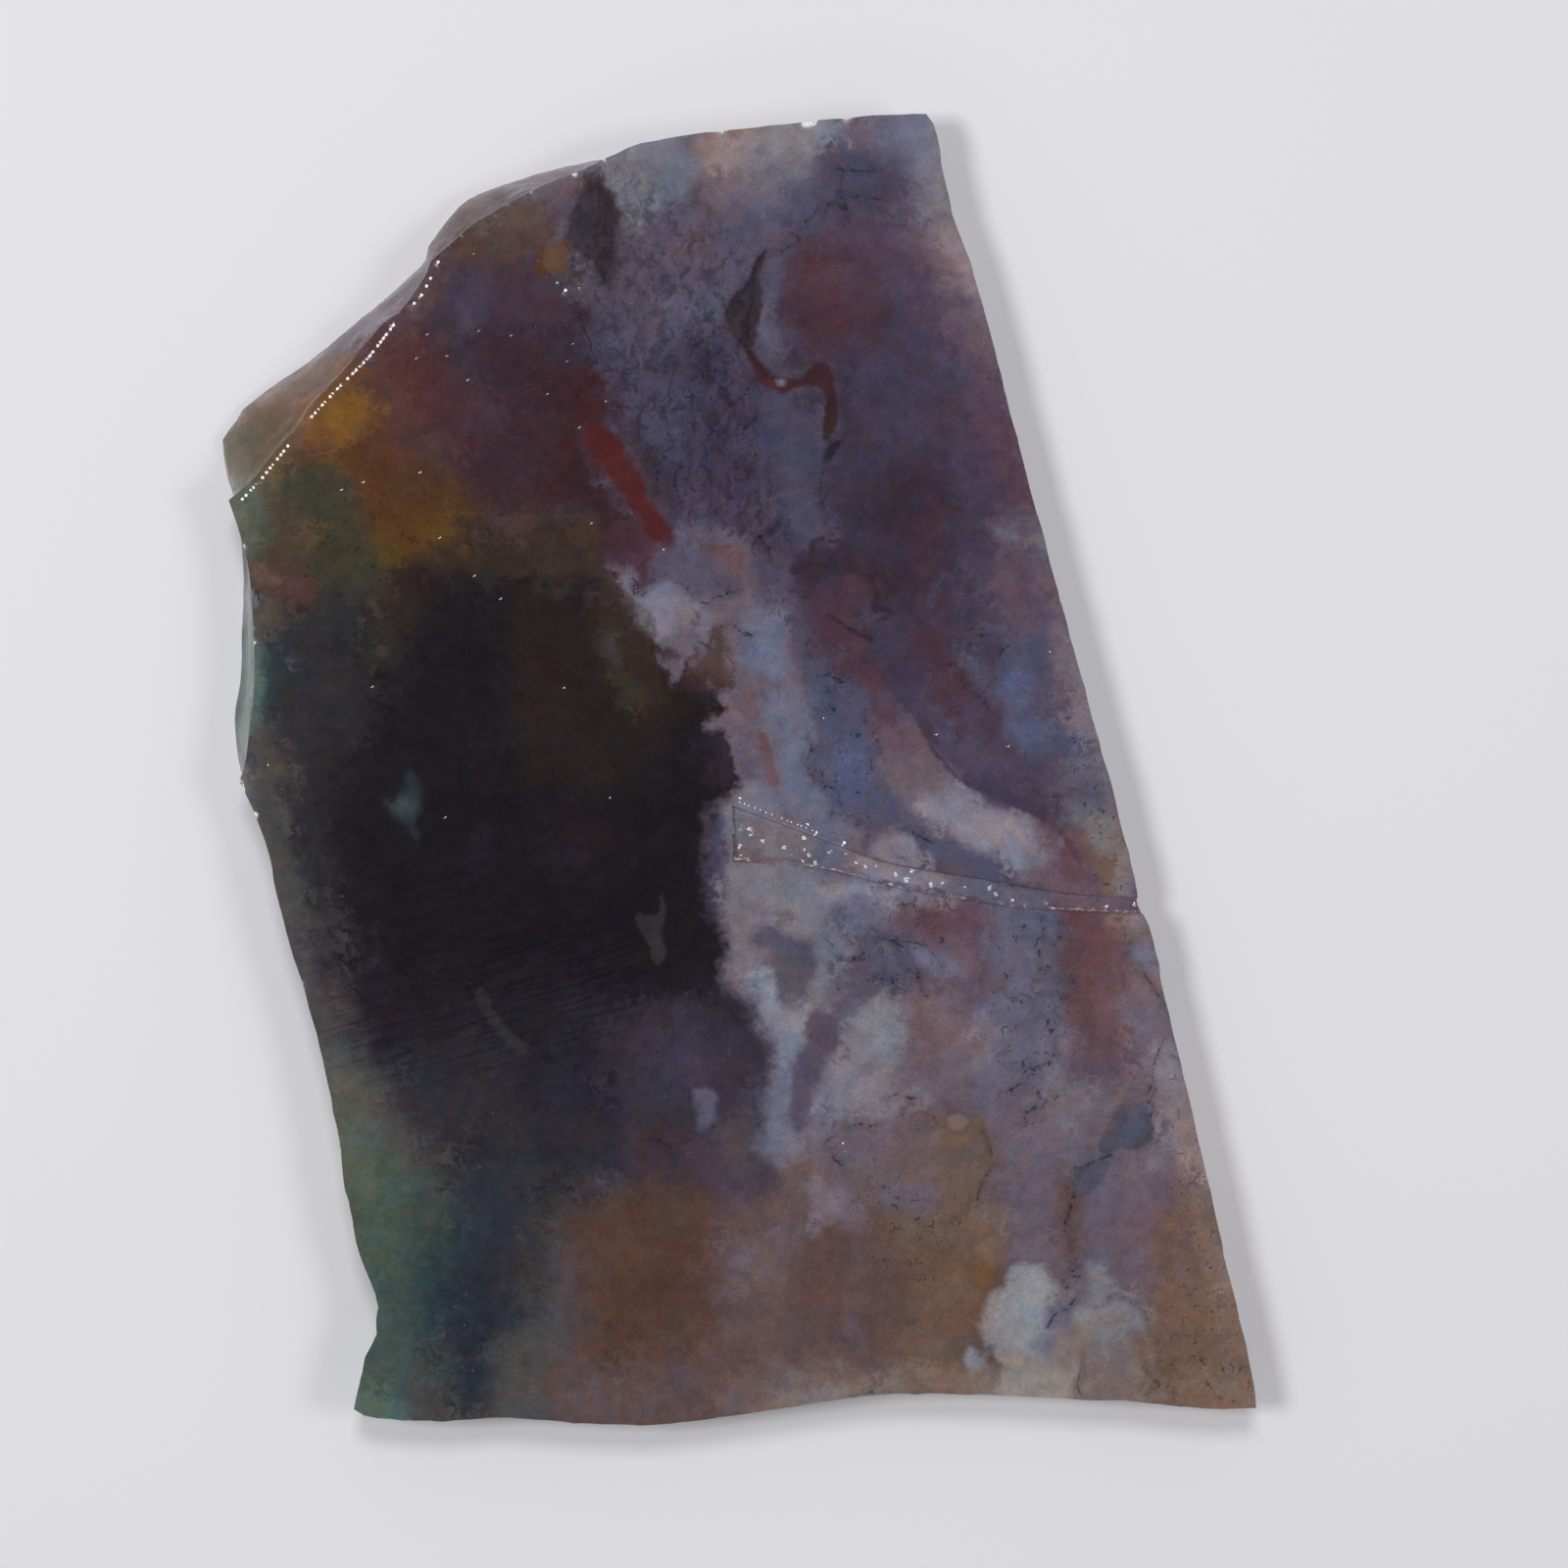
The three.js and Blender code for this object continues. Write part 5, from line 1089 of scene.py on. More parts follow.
FIGURE_COLOURS = [
    ("chalk", 1.0, 1.0, area((19, -44), (39, -44), (38, -61), (19, -61))),
    ("stone_tan", 0.8, 0.6, area((30, -51), (33.4, -51), (33, -54.6), (30, -55))),
    ("white", 0.8, 0.9, area((24, -49.6), (26, -50), (28.6, -47.6), (30, -49.4), (28.4, -51.6), (26, -53.6),
                             (23.6, -52))),
    ("white", 0.8, 1.0, area((23.6, -49.8), (25, -47.4), (26.4, -46.2), (28.6, -46.6), (29, -48.8),
                             (26, -50.4))),
    ("cream", 0.8, 0.8, area((24.4, -55.2), (31, -55), (31, -60), (24, -60))),
    ("cream", 0.8, 0.7, spot(25.4, -54, 1.2, 0.9)),
    ("lilac", 0.7, 0.7, spot(28.7, -52.6, 0.7, 0.9)),
    ("lilac", 0.5, 0.9, spot(29.8, -50.2, 0.9, 1.2, -40)),
    ("lilac", 0.5, 0.9, spot(31.2, -48.8, 0.9, 0.7)),
    ("stone_tan", 0.8, 0.7, area((33.6, -50.6), (36.6, -50), (36.4, -52.6), (34, -53.6))),
    ("grey_mauve", 0.6, 1.0, spot(4.2, -17.8, 3.4, 4.4)),
    ("blue_lilac", 0.6, 0.7, area((1, -14), (5, -14), (5, -16), (2, -16.4))),
    ("tan_brown", 0.6, 0.2, spot(5.6, -18.4, 1.2, 1.6)),
    ("salmon", 0.5, 0.6, spot(3.2, -18.1, 0.8, 0.7)),
    ("mauve_pale", 0.6, 0.9, spot(5, -21, 1.1, 0.9)),
    ("mauve", 0.6, 1.0, area((5, -22), (10, -22), (10, -25), (8, -30), (7, -33.6), (5, -33.6))),
    ("blue_lilac", 0.6, 0.8, area((8.6, -21.6), (12, -19), (14.4, -19.6), (12, -22.6), (10, -23.4))),
    ("blue_lilac", 0.5, 1.0, spot(-2.8, -31.1, 1.8, 2.8)),
    ("rose_grey", 0.5, 0.35, spot(-2.8, -30.6, 1, 1.4)),
    ("green_grey", 0.8, 0.8, spot(-30.6, -3.2, 1.4, 1.2)),
    ("teal_dark", 0.8, 0.6, spot(-29.6, -3, 1.4, 4.6)),
    ("grey_dark", 0.5, 0.4, spot(-30.4, -3.4, 0.9, 0.7)),
    ("lens_dark", 0.4, 1.0, area((-16.6, 55.4), (-10, 55.4), (-10, 43.6), (-13.4, 43.6), (-13.4, 46),
                                 (-16.6, 48))),
    ("red", 0.6, 1.0, area((-15, 33), (-4, 33), (-4, 19.6), (-15, 19.6))),
    ("vein_red", 0.6, 0.3, band(1, (-11.4, 28.4), (-9.2, 25.4), (-7.6, 22.6))),
    ("maroon", 0.7, 0.6, spot(-9.9, 28.2, 0.7, 1)),
    ("maroon", 0.7, 0.7, spot(-6.4, 21.2, 1, 0.8)),
    ("mauve", 0.3, 0.9, spot(-13.8, 46.4, 0.7, 0.5)),
    ("lilac", 0.5, 1.0, area((15, -15), (22, -15), (22, -20), (15, -20))),
    ("pink_grey", 0.5, 1.0, spot(39.8, -27.2, 2.2, 3)),
    ("lilac_pale", 0.5, 1.0, spot(37.4, -16.8, 1.6, 1.4)),
]

# Outline of the scar's floor
SCAR = [
    (0, -3.5), (4.5, -5.3), (10.3, -7.5), (13.5, -8.6), (22.9, -10.3), (30, -11.4), (38.4, -12),
    (38.4, -13.1), (30, -12.8), (23.4, -12.1), (14.4, -10.5), (10.8, -9.6), (7.6, -8.9), (0, -8.2), (0, -6),
]

# Lenses, veins and cracks, with a few painted highlights, on top of the rest: their shapes, and the colours
# in them.
INK = {
    "dark lens": area((2.9, 47.8), (2.1, 47.2), (1.6, 46.4), (1.3, 45.2), (0.4, 44.1), (-0.5, 43.2), (-1, 42),
                      (-0.6, 40.6), (0, 39.5), (0.7, 38.8), (1.7, 38.9), (1.9, 40), (2.2, 41.8), (2.5, 43),
                      (2.3, 44.4), (2.2, 45.4), (2.7, 46.7)),
    "red vein": area((0.8, 38.8), (1.6, 38.4), (2.2, 37.4), (3.2, 36.2), (4.2, 36), (5.2, 35.9), (6.2, 36),
                     (6.8, 36.8), (7.6, 37.3), (8.6, 37), (9, 35.8), (9.4, 34), (9.4, 32.4), (9, 30.8),
                     (8.2, 30.2), (8, 31.6), (8.3, 33.4), (8, 34.8), (7, 35.2), (5.8, 35.1), (4.6, 34.7),
                     (3.4, 34.9), (2.4, 35.6), (1.8, 36.8), (1, 37.8)),
    "smear": area((8, 28.4), (8.6, 30), (9.6, 30), (9, 29), (8.4, 28)),
    # Painted highlight: the pale dot of a glint on a tiny bubble
    "bead painted glint": spot(4.1, 35.6, 0.32, 0.3),
    "rusty stroke": band(0.35, (13.9, 55.1), (14.6, 54.4), (15.2, 53.4), (15.6, 52.6)),
    "scar floor": area(*SCAR),
    # Painted highlight: a pale line along the scar's upper edge, where light catches the ridge
    "scar lip painted highlight": band(0.4, (0, -3.4), (4.5, -5.2), (10.3, -7.4)),
    "knot band": band(0.5, (5.6, 18.4), (7.2, 18.8), (9, 18.4), (11, 18.2), (12.4, 17.4), (12.9, 16),
                      (12.8, 14.6)),
    "knot": band(0.4, (7, 21), (7.4, 20), (8.6, 19.4), (9.4, 18.6)),
    "red line": band(0.35, (8.6, 14.2), (9.4, 13.6), (11, 12.6), (12.6, 11.8)),
    "wedge line": band(0.3, (13.4, 8.6), (15, 6.6), (16.4, 5), (17.4, 3), (18.8, 1), (20.6, -0.9),
                       (22, -1.9)),
    "wedge shadow": band(1.1, (21.4, -0.8), (23.4, -2), (25.4, -2.8), (27, -3.5), (28.8, -4.4)),
    "wedge end": band(0.6, (28.4, -4.4), (29.6, -5.4), (30.6, -6.8), (31.4, -8.2)),
    "olive shadow": spot(17.6, 3.8, 0.6, 1.9, 32),
    "red dash": area((2, 3.4), (2.9, 2.9), (3.5, 0.8), (4.1, -1.2), (3.2, -1.6), (2.6, 0.2)),
    "pink dash": spot(1.2, 6.1, 0.7, 1.2, 10),
    "curl left": band(0.35, (5.3, 18.4), (5.4, 17.8), (6.2, 18.6), (7, 19.6), (7, 20.6), (8, 21.2)),
    "curl right": band(0.35, (13, 13.6), (14, 14), (14.4, 14.4), (13.4, 14.8)),
    "vein fill": area((35, -31), (37.4, -30.6), (38, -32), (38.4, -33.6), (37.2, -34.8), (35.4, -34.8),
                      (33.9, -35.4), (33.2, -34.4), (34.2, -33)),
    "vein fill below": area((31.2, -36.8), (33.4, -36), (34.4, -36.2), (33.6, -37.8), (32, -39.4),
                            (30.8, -38.6)),
    "ochre rim": band(0.6, (21.8, -32.2), (23, -33.6), (23.3, -35.6), (22.8, -37.4), (21.8, -38.6),
                      (21.2, -40.6)),
    "orb": spot(20.3, -32.5, 0.95, 0.85),
    "orb edge": band(0.28, (19.2, -32), (19.5, -33), (20.2, -33.5), (21, -33.3), (21.5, -32.6)),
    "grey streak": band(1.1, (-23.4, -20.6), (-22.6, -22.4), (-21.4, -24), (-19.6, -25.6)),
    "olive wisp": area((-6.8, -11.4), (-7.2, -13.4), (-8.8, -13.2), (-9.2, -14), (-8, -16), (-7.4, -18),
                       (-6.3, -17), (-6.8, -15), (-6.4, -13)),
    "pit stain": area((-18.6, 48.2), (-17, 47.9), (-15.6, 48.6), (-15, 47.4), (-15.6, 46.4), (-15.2, 45.4),
                      (-16.8, 45.8), (-17.8, 45), (-18.4, 46.2), (-17.9, 47.2)),
}
INK_COLOURS = [
    ("lens_dark", 0.3, 1.0, area((-3, 49), (4.4, 49), (4.4, 38.8), (-3, 38.8))),
    ("black_violet", 0.3, 0.6, band(0.7, (-0.9, 42), (-0.4, 43.2), (0.7, 44.2), (1.4, 45.4), (2.4, 47.2))),
    ("maroon_dark", 0.4, 1.0, area((0, 38.8), (11, 38.8), (11, 30), (7, 30), (0, 33))),
    ("vein_red", 0.5, 0.25, area((1.4, 37.6), (3, 36.2), (6, 35.9), (6, 34.8), (3, 34.6), (1.4, 36))),
    ("maroon", 0.6, 0.3, spot(7.8, 36.2, 1.2, 1.2)),
    ("brown_dark", 0.7, 0.9, spot(8.7, 31.4, 0.9, 1.6)),
    ("black_violet", 0.3, 0.8, area((7.6, 30.2), (10, 30.2), (10, 27.6), (7.6, 27.6))),
    # Painted highlight: the pale dot of a glint on the tiny bubble in the red vein
    ("silver_blue", 0.2, 1.0, spot(4.1, 35.6, 0.45, 0.45)),
    ("heather", 0.3, 1.0, area((13, 56), (16.4, 56), (16.4, 51.6), (13, 53))),
    ("scar_grey", 0.6, 1.0, area((-1, -2), (9, -6), (10, -10.4), (-1, -9))),
    ("rose_tan", 0.5, 0.5, spot(1.6, -7.6, 1, 0.8)),
    ("lilac", 0.6, 1.0, area((7.6, -5.6), (12, -7), (12, -10.4), (8.4, -9.6))),
    ("scar_pink", 0.8, 1.0, area((11.4, -7.4), (20.6, -9), (20.6, -12), (11.4, -10.4))),
    ("brick", 0.4, 0.3, band(0.6, (13.4, -8.8), (16.4, -9.3), (19.6, -9.9))),
    # Partly painted highlight: pale stone in the scar's lower part, made lighter where its glints shine
    ("wedge_pale", 0.7, 0.9, area((12.4, -8.8), (15.6, -8.9), (20.2, -10.2), (20.2, -12), (12.4, -11))),
    ("lilac", 0.8, 1.0, area((20.6, -9), (29.6, -10.6), (29.6, -13.4), (20.6, -12.6))),
    ("wine_pale", 0.8, 1.0, area((29.6, -10.4), (39, -11), (39, -14), (29.6, -13.6))),
    ("brick", 0.25, 0.8, band(0.4, (0.2, -8.2), (4, -8.6), (7.6, -9.1))),
    # Painted highlight: the pale blue line along the scar's upper edge, where light catches the ridge
    ("blue_pale", 0.2, 0.8, band(0.8, (0, -3.3), (4.5, -5.1), (10.3, -7.3))),
    ("plum_dark", 0.5, 1.0, area((4, 23), (15, 23), (15, 13.4), (8, 13), (4, 17))),
    ("maroon_dark", 0.5, 0.8, band(1.4, (9, 14.2), (10.4, 13.1), (12, 12.2), (13.2, 11))),
    ("dusk", 0.4, 1.0, band(2.6, (13.4, 8.6), (16.4, 5), (18.8, 1), (22, -1.9), (25.4, -2.9), (28.6, -4.2))),
    ("wine", 0.4, 1.0, band(1.6, (29.4, -5), (30.6, -6.8), (32, -8.8))),
    ("wine_pale", 0.4, 1.0, area((0, 9), (5, 9), (5, -2), (0, -2))),
    ("brick", 0.3, 0.5, area((1.4, 3.8), (3.8, 3.8), (5, -2), (2.2, -2.2))),
    ("grey_mauve", 0.5, 1.0, area((29, -29), (40, -29), (40, -41), (29, -41))),
    ("grey_dark", 0.4, 0.7, band(1, (38.2, -33.4), (37, -34.9), (35, -35.4), (33, -34.8))),
    ("blue_lilac", 0.5, 0.6, spot(36.4, -32.6, 1.2, 1.2)),
    ("tan_brown", 0.4, 1.0, area((20.8, -30.8), (25, -31), (25, -42), (20, -42), (21.6, -36))),
    ("stone_tan", 0.2, 1.0, spot(20.3, -32.5, 1.1, 1.1)),
    ("rose_brown", 0.2, 1.0, band(0.5, (19.2, -32), (19.5, -33), (20.2, -33.5), (21, -33.3), (21.5, -32.6))),
    ("blue_dark", 0.4, 0.9, band(2, (-23.4, -20.6), (-22.6, -22.4), (-21.4, -24), (-19.6, -25.6))),
    ("grey_dark", 0.4, 0.45, spot(-7.8, -15, 2.4, 4.4)),
    ("ochre_brown", 0.4, 0.9, spot(-16.6, 46.8, 2.6, 2.4)),
    ("brown", 0.4, 0.4, spot(-16.2, 47.4, 1.2, 1)),
]

# Cracks: thin dark lines, and rows of short strokes
CRACKS = [
    band(0.28, (-27.5, 47.1), (-26.4, 47.9), (-25.3, 49)),
    band(0.22, (-27.3, 47), (-26.9, 46.2), (-27, 45.6)),
    band(0.3, (9.4, 55.2), (10.5, 55), (12, 54.9), (13.3, 55.1)),
    band(0.22, (9.9, 55), (9.7, 53.4), (9.9, 50.4)),
    band(0.2, (9.3, 53), (9.6, 51.5)),
    band(0.2, (10.1, 52.4), (10.4, 50.6)),
    band(0.3, (10.6, 52.7), (11.8, 52.7), (12.8, 52.4), (13.5, 52.2)),
    band(0.2, (11, 52.4), (13, 51.6), (14.4, 50.8)),
    band(0.3, (2.8, 47.6), (1.9, 46.4), (1.6, 45), (1.6, 43), (1.1, 41.4), (1.2, 39.4)),
    band(0.2, (-8, 46.8), (-7.7, 45.2), (-7.5, 43.9)),
    band(0.18, (-12.5, 37.8), (-11.9, 37.2), (-11.3, 36.6), (-9.6, 36.3)),
    band(0.16, (-13.4, 54.2), (-13.1, 51)),
    band(0.16, (-12.6, 54), (-12.4, 50)),
    band(0.16, (-11.6, 52.6), (-11.4, 47.4)),
    band(0.16, (-13, 49.6), (-12.4, 45.6)),
    band(0.16, (-12, 49), (-12, 45)),
    band(0.16, (-14.6, 53.4), (-14.2, 51.2)),
    band(0.3, (15.8, -5.4), (17, -6.2), (18, -6.7)),
    band(0.24, (15.8, -15.8), (16.8, -16), (17.8, -16.5), (18.4, -17.4), (19, -18.3)),
    band(0.18, (15.5, -16), (16.2, -17.4), (16.8, -18.6)),
    band(0.2, (10, -9.4), (11.4, -9.5)),
    band(0.3, (34.6, -35.4), (33, -36), (31.4, -36.8)),
    band(0.3, (31.2, -48.6), (30.4, -49.6), (29.4, -50), (28.7, -51.2)),
    band(0.28, (39.4, -24.8), (38.6, -26.5), (38.3, -28)),
    band(0.22, (37, -18), (38, -19.5), (39.3, -21.5)),
    band(0.2, (32, -53.8), (31.6, -55.6), (31.4, -56.6), (31.8, -57.6)),
    band(0.18, (22.6, -33), (23.4, -34.8), (23.6, -36.4), (22.6, -38), (22, -40.4)),
]
# Lines of short strokes: how far the strokes stray from the line, and its points
STROKE_LINES = [
    (0.2, (9.2, 52), (7.6, 51.4), (6.4, 50.4), (5.4, 49)), (0.2, (6.2, 48.7), (5.2, 48.2), (3.9, 47.6)),
    (0.5, (-1.2, 38.4), (-1.4, 35.6)), (0.4, (-2.6, 37.8), (-3, 34.6)), (0.2, (1.2, 35.2), (0.6, 34)),
    (0.4, (2.2, 32.6), (1, 31)), (0.3, (-7.1, 28), (-7, 25.6)),
    (0.2, (9.6, 29.6), (8.2, 28), (7.8, 25.6), (8.4, 24)), (0.15, (-4.9, 17.1), (-3.9, 16), (-3.2, 15.5)),
    (0.15, (-2.7, 15.3), (-1.6, 15.8), (-0.1, 16.2)), (0.25, (-0.7, 13.4), (0.6, 12.9), (1.6, 12.5)),
    (0.2, (0.3, 12.4), (1.4, 12)), (0.3, (1.6, 21), (3.4, 22.2)), (0.4, (3.2, 18.6), (2.6, 20.4)),
    (0.4, (5, 16.2), (6.2, 16)), (0.5, (8, 9), (10, 8.4)), (0.4, (9, 7.2), (9.2, 5.6)),
    (0.3, (12, 4.8), (12.4, 3.4), (13, 2)), (0.3, (12, 1.4), (12.6, 0.4)), (0.4, (7.2, 2.4), (6.8, 0.4)),
    (0.3, (7.2, -0.6), (8.2, -1.2), (9.8, -3.6)), (0.3, (10.6, -4.4), (11.2, -4.8)),
    (0.3, (25.4, -10.5), (28, -11.4)), (0.3, (21, 8), (24, 4.8)), (0.3, (8.2, -15.8), (8.8, -16)),
    (0.5, (12.6, -15.4), (15, -16.4)), (0.5, (16.6, -18.4), (17.6, -20.4)), (0.4, (12, -19), (15, -20.2)),
    (0.5, (15.6, -12), (17, -12.6)), (0.3, (27.8, -14), (28.4, -15.2)), (0.3, (27.8, -16), (27.6, -19)),
    (0.4, (26, -21), (29.8, -20.8)), (0.3, (27.4, -21.5), (28.6, -23.8)), (0.4, (29.4, -24), (28.8, -26.6)),
    (0.3, (28.6, -27.2), (26.8, -27.8)), (0.3, (27.2, -28.2), (24.8, -29.4)), (0.4, (28, -30.6), (26.8, -32)),
    (0.3, (14.2, -29.8), (16.4, -30)), (0.3, (17.4, -31.8), (18.4, -32)),
    (0.2, (8.6, -34), (8.8, -36), (9.8, -36.6)), (0.3, (11, -32.4), (12.6, -32.6)),
    (0.15, (31, -37), (31, -39), (30.6, -41)), (0.2, (30.4, -41), (30.8, -44), (31.4, -46)),
    (0.2, (31.4, -46), (30, -48), (29, -48.4)), (0.15, (38.3, -29), (38.2, -32), (38.3, -33.4)),
    (0.3, (11, -57.4), (20, -57.4)), (0.2, (-7.6, -33.8), (-5.6, -34.8)), (0.3, (17.8, 50.2), (18.8, 51)),
    (0.3, (-44.3, 16.9), (-43.4, 15.5)), (0.1, (-39.5, -14.8), (-37.2, -15), (-36.5, -14.4)),
]
for spread, *places in STROKE_LINES:
    CRACKS.extend(strokes(spread, *places))

# Where small dark flecks lie
DARK_FLECKS = [
    area((28, 8), (34, 6), (38, -10), (33, -12), (31, -3)),
    area((8, 8), (12, 6), (14, -4), (10, -6), (7, 0)),
    area((24, -12), (30, -12), (32, -30), (24, -32)),
    area((39, -28), (43, -30), (50, -60), (38, -60), (40, -44)),
    area((12, -36), (22, -40), (16, -50), (12, -44)),
    area((9, -12), (22, -14), (16, -20), (9, -20)),
    area((-3, 42), (1, 36), (4, 28), (-4, 30)),
    area((1, 24), (6, 22), (5, 14), (1, 18)),
    area((-38, 26), (-20, 24), (-14, 18), (-30, 14), (-40, 14)),
    area((20, 15), (26, 12), (22, 4), (18, 8)),
]
# Where small pale flecks lie
PALE_FLECKS = [
    area((-46, 1), (-41, 0), (-34, -12), (-40, -14)),
    area((-33, -32), (-16, -33), (-16, -60), (-33, -60), (-31, -46)),
    area((-29, 40), (-14, 46), (-12, 34), (-24, 30)),
    area((-8, -20), (0, -22), (0, -32), (-8, -34)),
]
# Where the stone has fine dark wisps
FIBRES = [area((-14, 56), (-4, 52), (2, 46), (2, 30), (6, 22), (-4, 22), (-10, 30), (-15, 40))]
# Where saw marks show
SAW_MARKS = [area((-36, -16), (-10, -14), (-8, -22), (-20, -28), (-36, -27))]
# All of these: their shapes, and how soft their edges are
MARKED_AREAS = {"dark_flecks": (DARK_FLECKS, 2.0), "pale_flecks": (PALE_FLECKS, 3.0), "fibres": (FIBRES, 2.0),
                "saw_marks": (SAW_MARKS, 3.0)}

# Small dents in the front face that catch the light: their middles
DENTS = [
    (-3.6, 55), (-3.7, 53.6), (2, 57.6), (-17.3, 34.5), (-22, 50.9), (-29.3, 37.8), (-26.5, 38),
    (-24.6, 35.8), (-23.6, 40.3), (-28.3, 40), (-15.5, 37.5), (-15, 39.1), (-20.6, 39.9), (-24, 47.4),
    (-3.1, 55.5), (-3.4, 54.1), (-9.8, 56.4), (-1, 44.6), (-9.6, 42.8), (9.8, 56.8), (28.8, 10.8),
    (18.4, 3.2), (25, 2.1), (8, 4.7), (-24, 17.8), (-21.6, 15.7), (-33.4, 7.6), (-15.8, 7.5), (-26.7, -4.4),
    (-11.6, -2.6), (-43, 0.4), (-15.1, 44.4), (-17.3, 45.3), (-18.2, 46.7), (-6.7, 20.2), (10.1, -35.1),
    (-36.2, 25.7), (-34.2, 26.4), (-29, 27.3), (-13.3, 22.6), (-27.2, 21.3), (-14.4, 31.4), (-12, 33.8),
    (10.3, 55.6), (-44, 26.3), *along(0.5, (0.3, -3), (4.4, -4.6), (7, -5.6)),
]
# Small slanting facets in the front face that catch more light: their middles
GLINTS = [
    (-15.6, 44), (-14.2, 44.4), (9.8, -34.3), (6.6, -5.1), (7.4, -5.8), (10, -6.75), (0.4, -2.7),
    (-27.3, 46.6), *along(0.55, (-45.3, 24.8), (-43.6, 26.6), (-41.1, 29.7)),
    *along(0.5, (-39, 32.3), (-36.8, 34.7), (-33.7, 37.8), (-31.4, 40.8)),
    *along(0.8, (-29.5, 42.8), (-28.7, 43.7), (-28, 45.1)),
]
# Facets in the scar's floor that catch the light: their middles and radii
NICKS = [
    (0.4, -7.1, 0.29), (0.5, -7.8, 0.27), (1.2, -5.5, 0.31), (1.4, -6, 0.29), (2.5, -6.6, 0.27),
    (4.5, -7.2, 0.27), (4.8, -6.8, 0.27), (6.3, -7.4, 0.29), (6.7, -7.9, 0.29), (6.1, -8.5, 0.27),
    (7.4, -8.6, 0.27), (8.7, -7.6, 0.29), (6.3, -6.3, 0.31), (10.2, -7.8, 0.27), (11, -8.7, 0.27),
    (12, -8.9, 0.29), (12.9, -9, 0.29), (14.7, -9.7, 0.33), (15.7, -10.1, 0.42), (16.2, -9.4, 0.31),
    (18, -10.6, 0.35), (19, -10.4, 0.29), (21.2, -10.8, 0.29), (23.4, -10.9, 0.35), (23.9, -11.5, 0.29),
    (25.5, -12, 0.29), (28.5, -12.3, 0.27), (30.5, -12.4, 0.27), (34, -12.6, 0.31), (36.7, -12.4, 0.27),
]


# Colours of the stone's points

def drifted(verts):
    """Where each point lies in the pattern, which drifts sideways as it goes down from the front face."""
    down = (THICKNESS - verts[:, 2])[:, None]
    sway = np.column_stack([fractal(verts, size=9.0, seed=seed, octaves=2) for seed in (3, 5)])
    ragged = sum(amount * np.column_stack([noise(verts, size, seed), noise(verts, size, seed + 1)])
                 for amount, size, seed in RAGGED)
    return verts[:, :2] + down * (DRIFT_SWAY * sway + DRIFT) + ragged


def tinted(colours, verts):
    """The colours with clouds of slightly lighter or darker and of redder or bluer stone in them."""
    lighter = fractal(verts, size=3.4, seed=201, gain=0.65)[:, None]
    redder = fractal(verts, size=2.8, seed=233, gain=0.65)[:, None]
    return colours * (1.0 + LIGHT_CLOUDS * lighter + redder * RED_CLOUDS)


def in_smooth_pits(verts):
    """1 in the smooth pits, falling to 0 at their rims."""
    shares = [1.0 - smoothstep(0.8, 1.0, np.hypot(verts[:, 0] - x, verts[:, 1] - y) / reach)
              for x, y, reach in SMOOTH_PITS]
    return np.max(shares, axis=0)


def add_colours(mesh, verts):
    """Gives the stone's points the colours of all layers, and how deep they lie in each layer."""
    place = drifted(verts)
    down = THICKNESS - verts[:, 2]
    plain = verts[:, :2] + (place - verts[:, :2]) * smoothstep(0.0, 1.0, down)[:, None]
    beside = place + SWIRL * np.column_stack([noise(verts, size=2.2, seed=seed) for seed in (307, 311)])
    start = np.tile(np.array(PALETTE["mauve"], float), (len(verts), 1))
    mottles = [fractal(verts, size, seed, gain=0.6) for size, seed in MOTTLES]
    other_mottles = [-m for m in mottles]
    ground = laid_on(start, place, GROUND, mottles)
    ground_beside = laid_on(start, beside, GROUND, other_mottles)
    dark = laid_on(ground, place, DARK, mottles)
    dark_beside = laid_on(ground_beside, beside, DARK, other_mottles)
    shore_depth = deepest(place, SHORE, REACH)
    below = np.where(shore_depth[:, None] > 0.0, dark, ground)
    figure = laid_on(below, place, FIGURE_COLOURS, mottles)
    ink = laid_on(below, plain, INK_COLOURS, mottles)
    layers = {"ground": ground, "ground_beside": ground_beside, "dark": dark, "dark_beside": dark_beside,
              "figure": figure, "ink": ink}
    for name, colours in layers.items():
        layer = mesh.color_attributes.new(name, "FLOAT_COLOR", "POINT")
        rgba = np.column_stack([base_colour(tinted(colours, verts)), np.ones(len(verts))])
        layer.data.foreach_set("color", rgba.astype(np.float32).ravel())
    # 1 along the shore below the slab's middle, falling to 0 above it and at the left rim
    lower_shore = smoothstep(-1.0, -4.0, verts[:, 1]) * smoothstep(-40.0, -30.0, verts[:, 0])
    depths = {
        "shore_depth": shore_depth,
        "shore_softness": SHORE_SOFTNESS + LOWER_SHORE_SOFTNESS * lower_shore,
        "figure_depth": deepest(place, FIGURES.values(), REACH),
        "ink_depth": deepest(plain, INK.values(), REACH),
        "crack_depth": deepest(plain, CRACKS, CRACK_REACH),
    }
    for name, (shapes, soft) in MARKED_AREAS.items():
        depths[name] = smoothstep(-soft, soft, deepest(place, shapes, REACH))
    depths["broken"] = smoothstep(0.05, 0.4, down) * smoothstep(0.0, 0.1, verts[:, 2])
    depths["dull"] = in_smooth_pits(verts) * smoothstep(0.0, 0.05, down)
    for name, values in depths.items():
        layer = mesh.attributes.new(name, "FLOAT", "POINT")
        layer.data.foreach_set("value", values.astype(np.float32))


# Relief of the broken surfaces, and small dents in the front face

def point_normals(verts, triangles):
    a, b, c = (verts[triangles[:, k]] for k in range(3))
    facing = np.cross(b - a, c - a)
    total = np.zeros_like(verts)
    for k in range(3):
        np.add.at(total, triangles[:, k], facing)
    return total / (np.linalg.norm(total, axis=1)[:, None] + TINY)


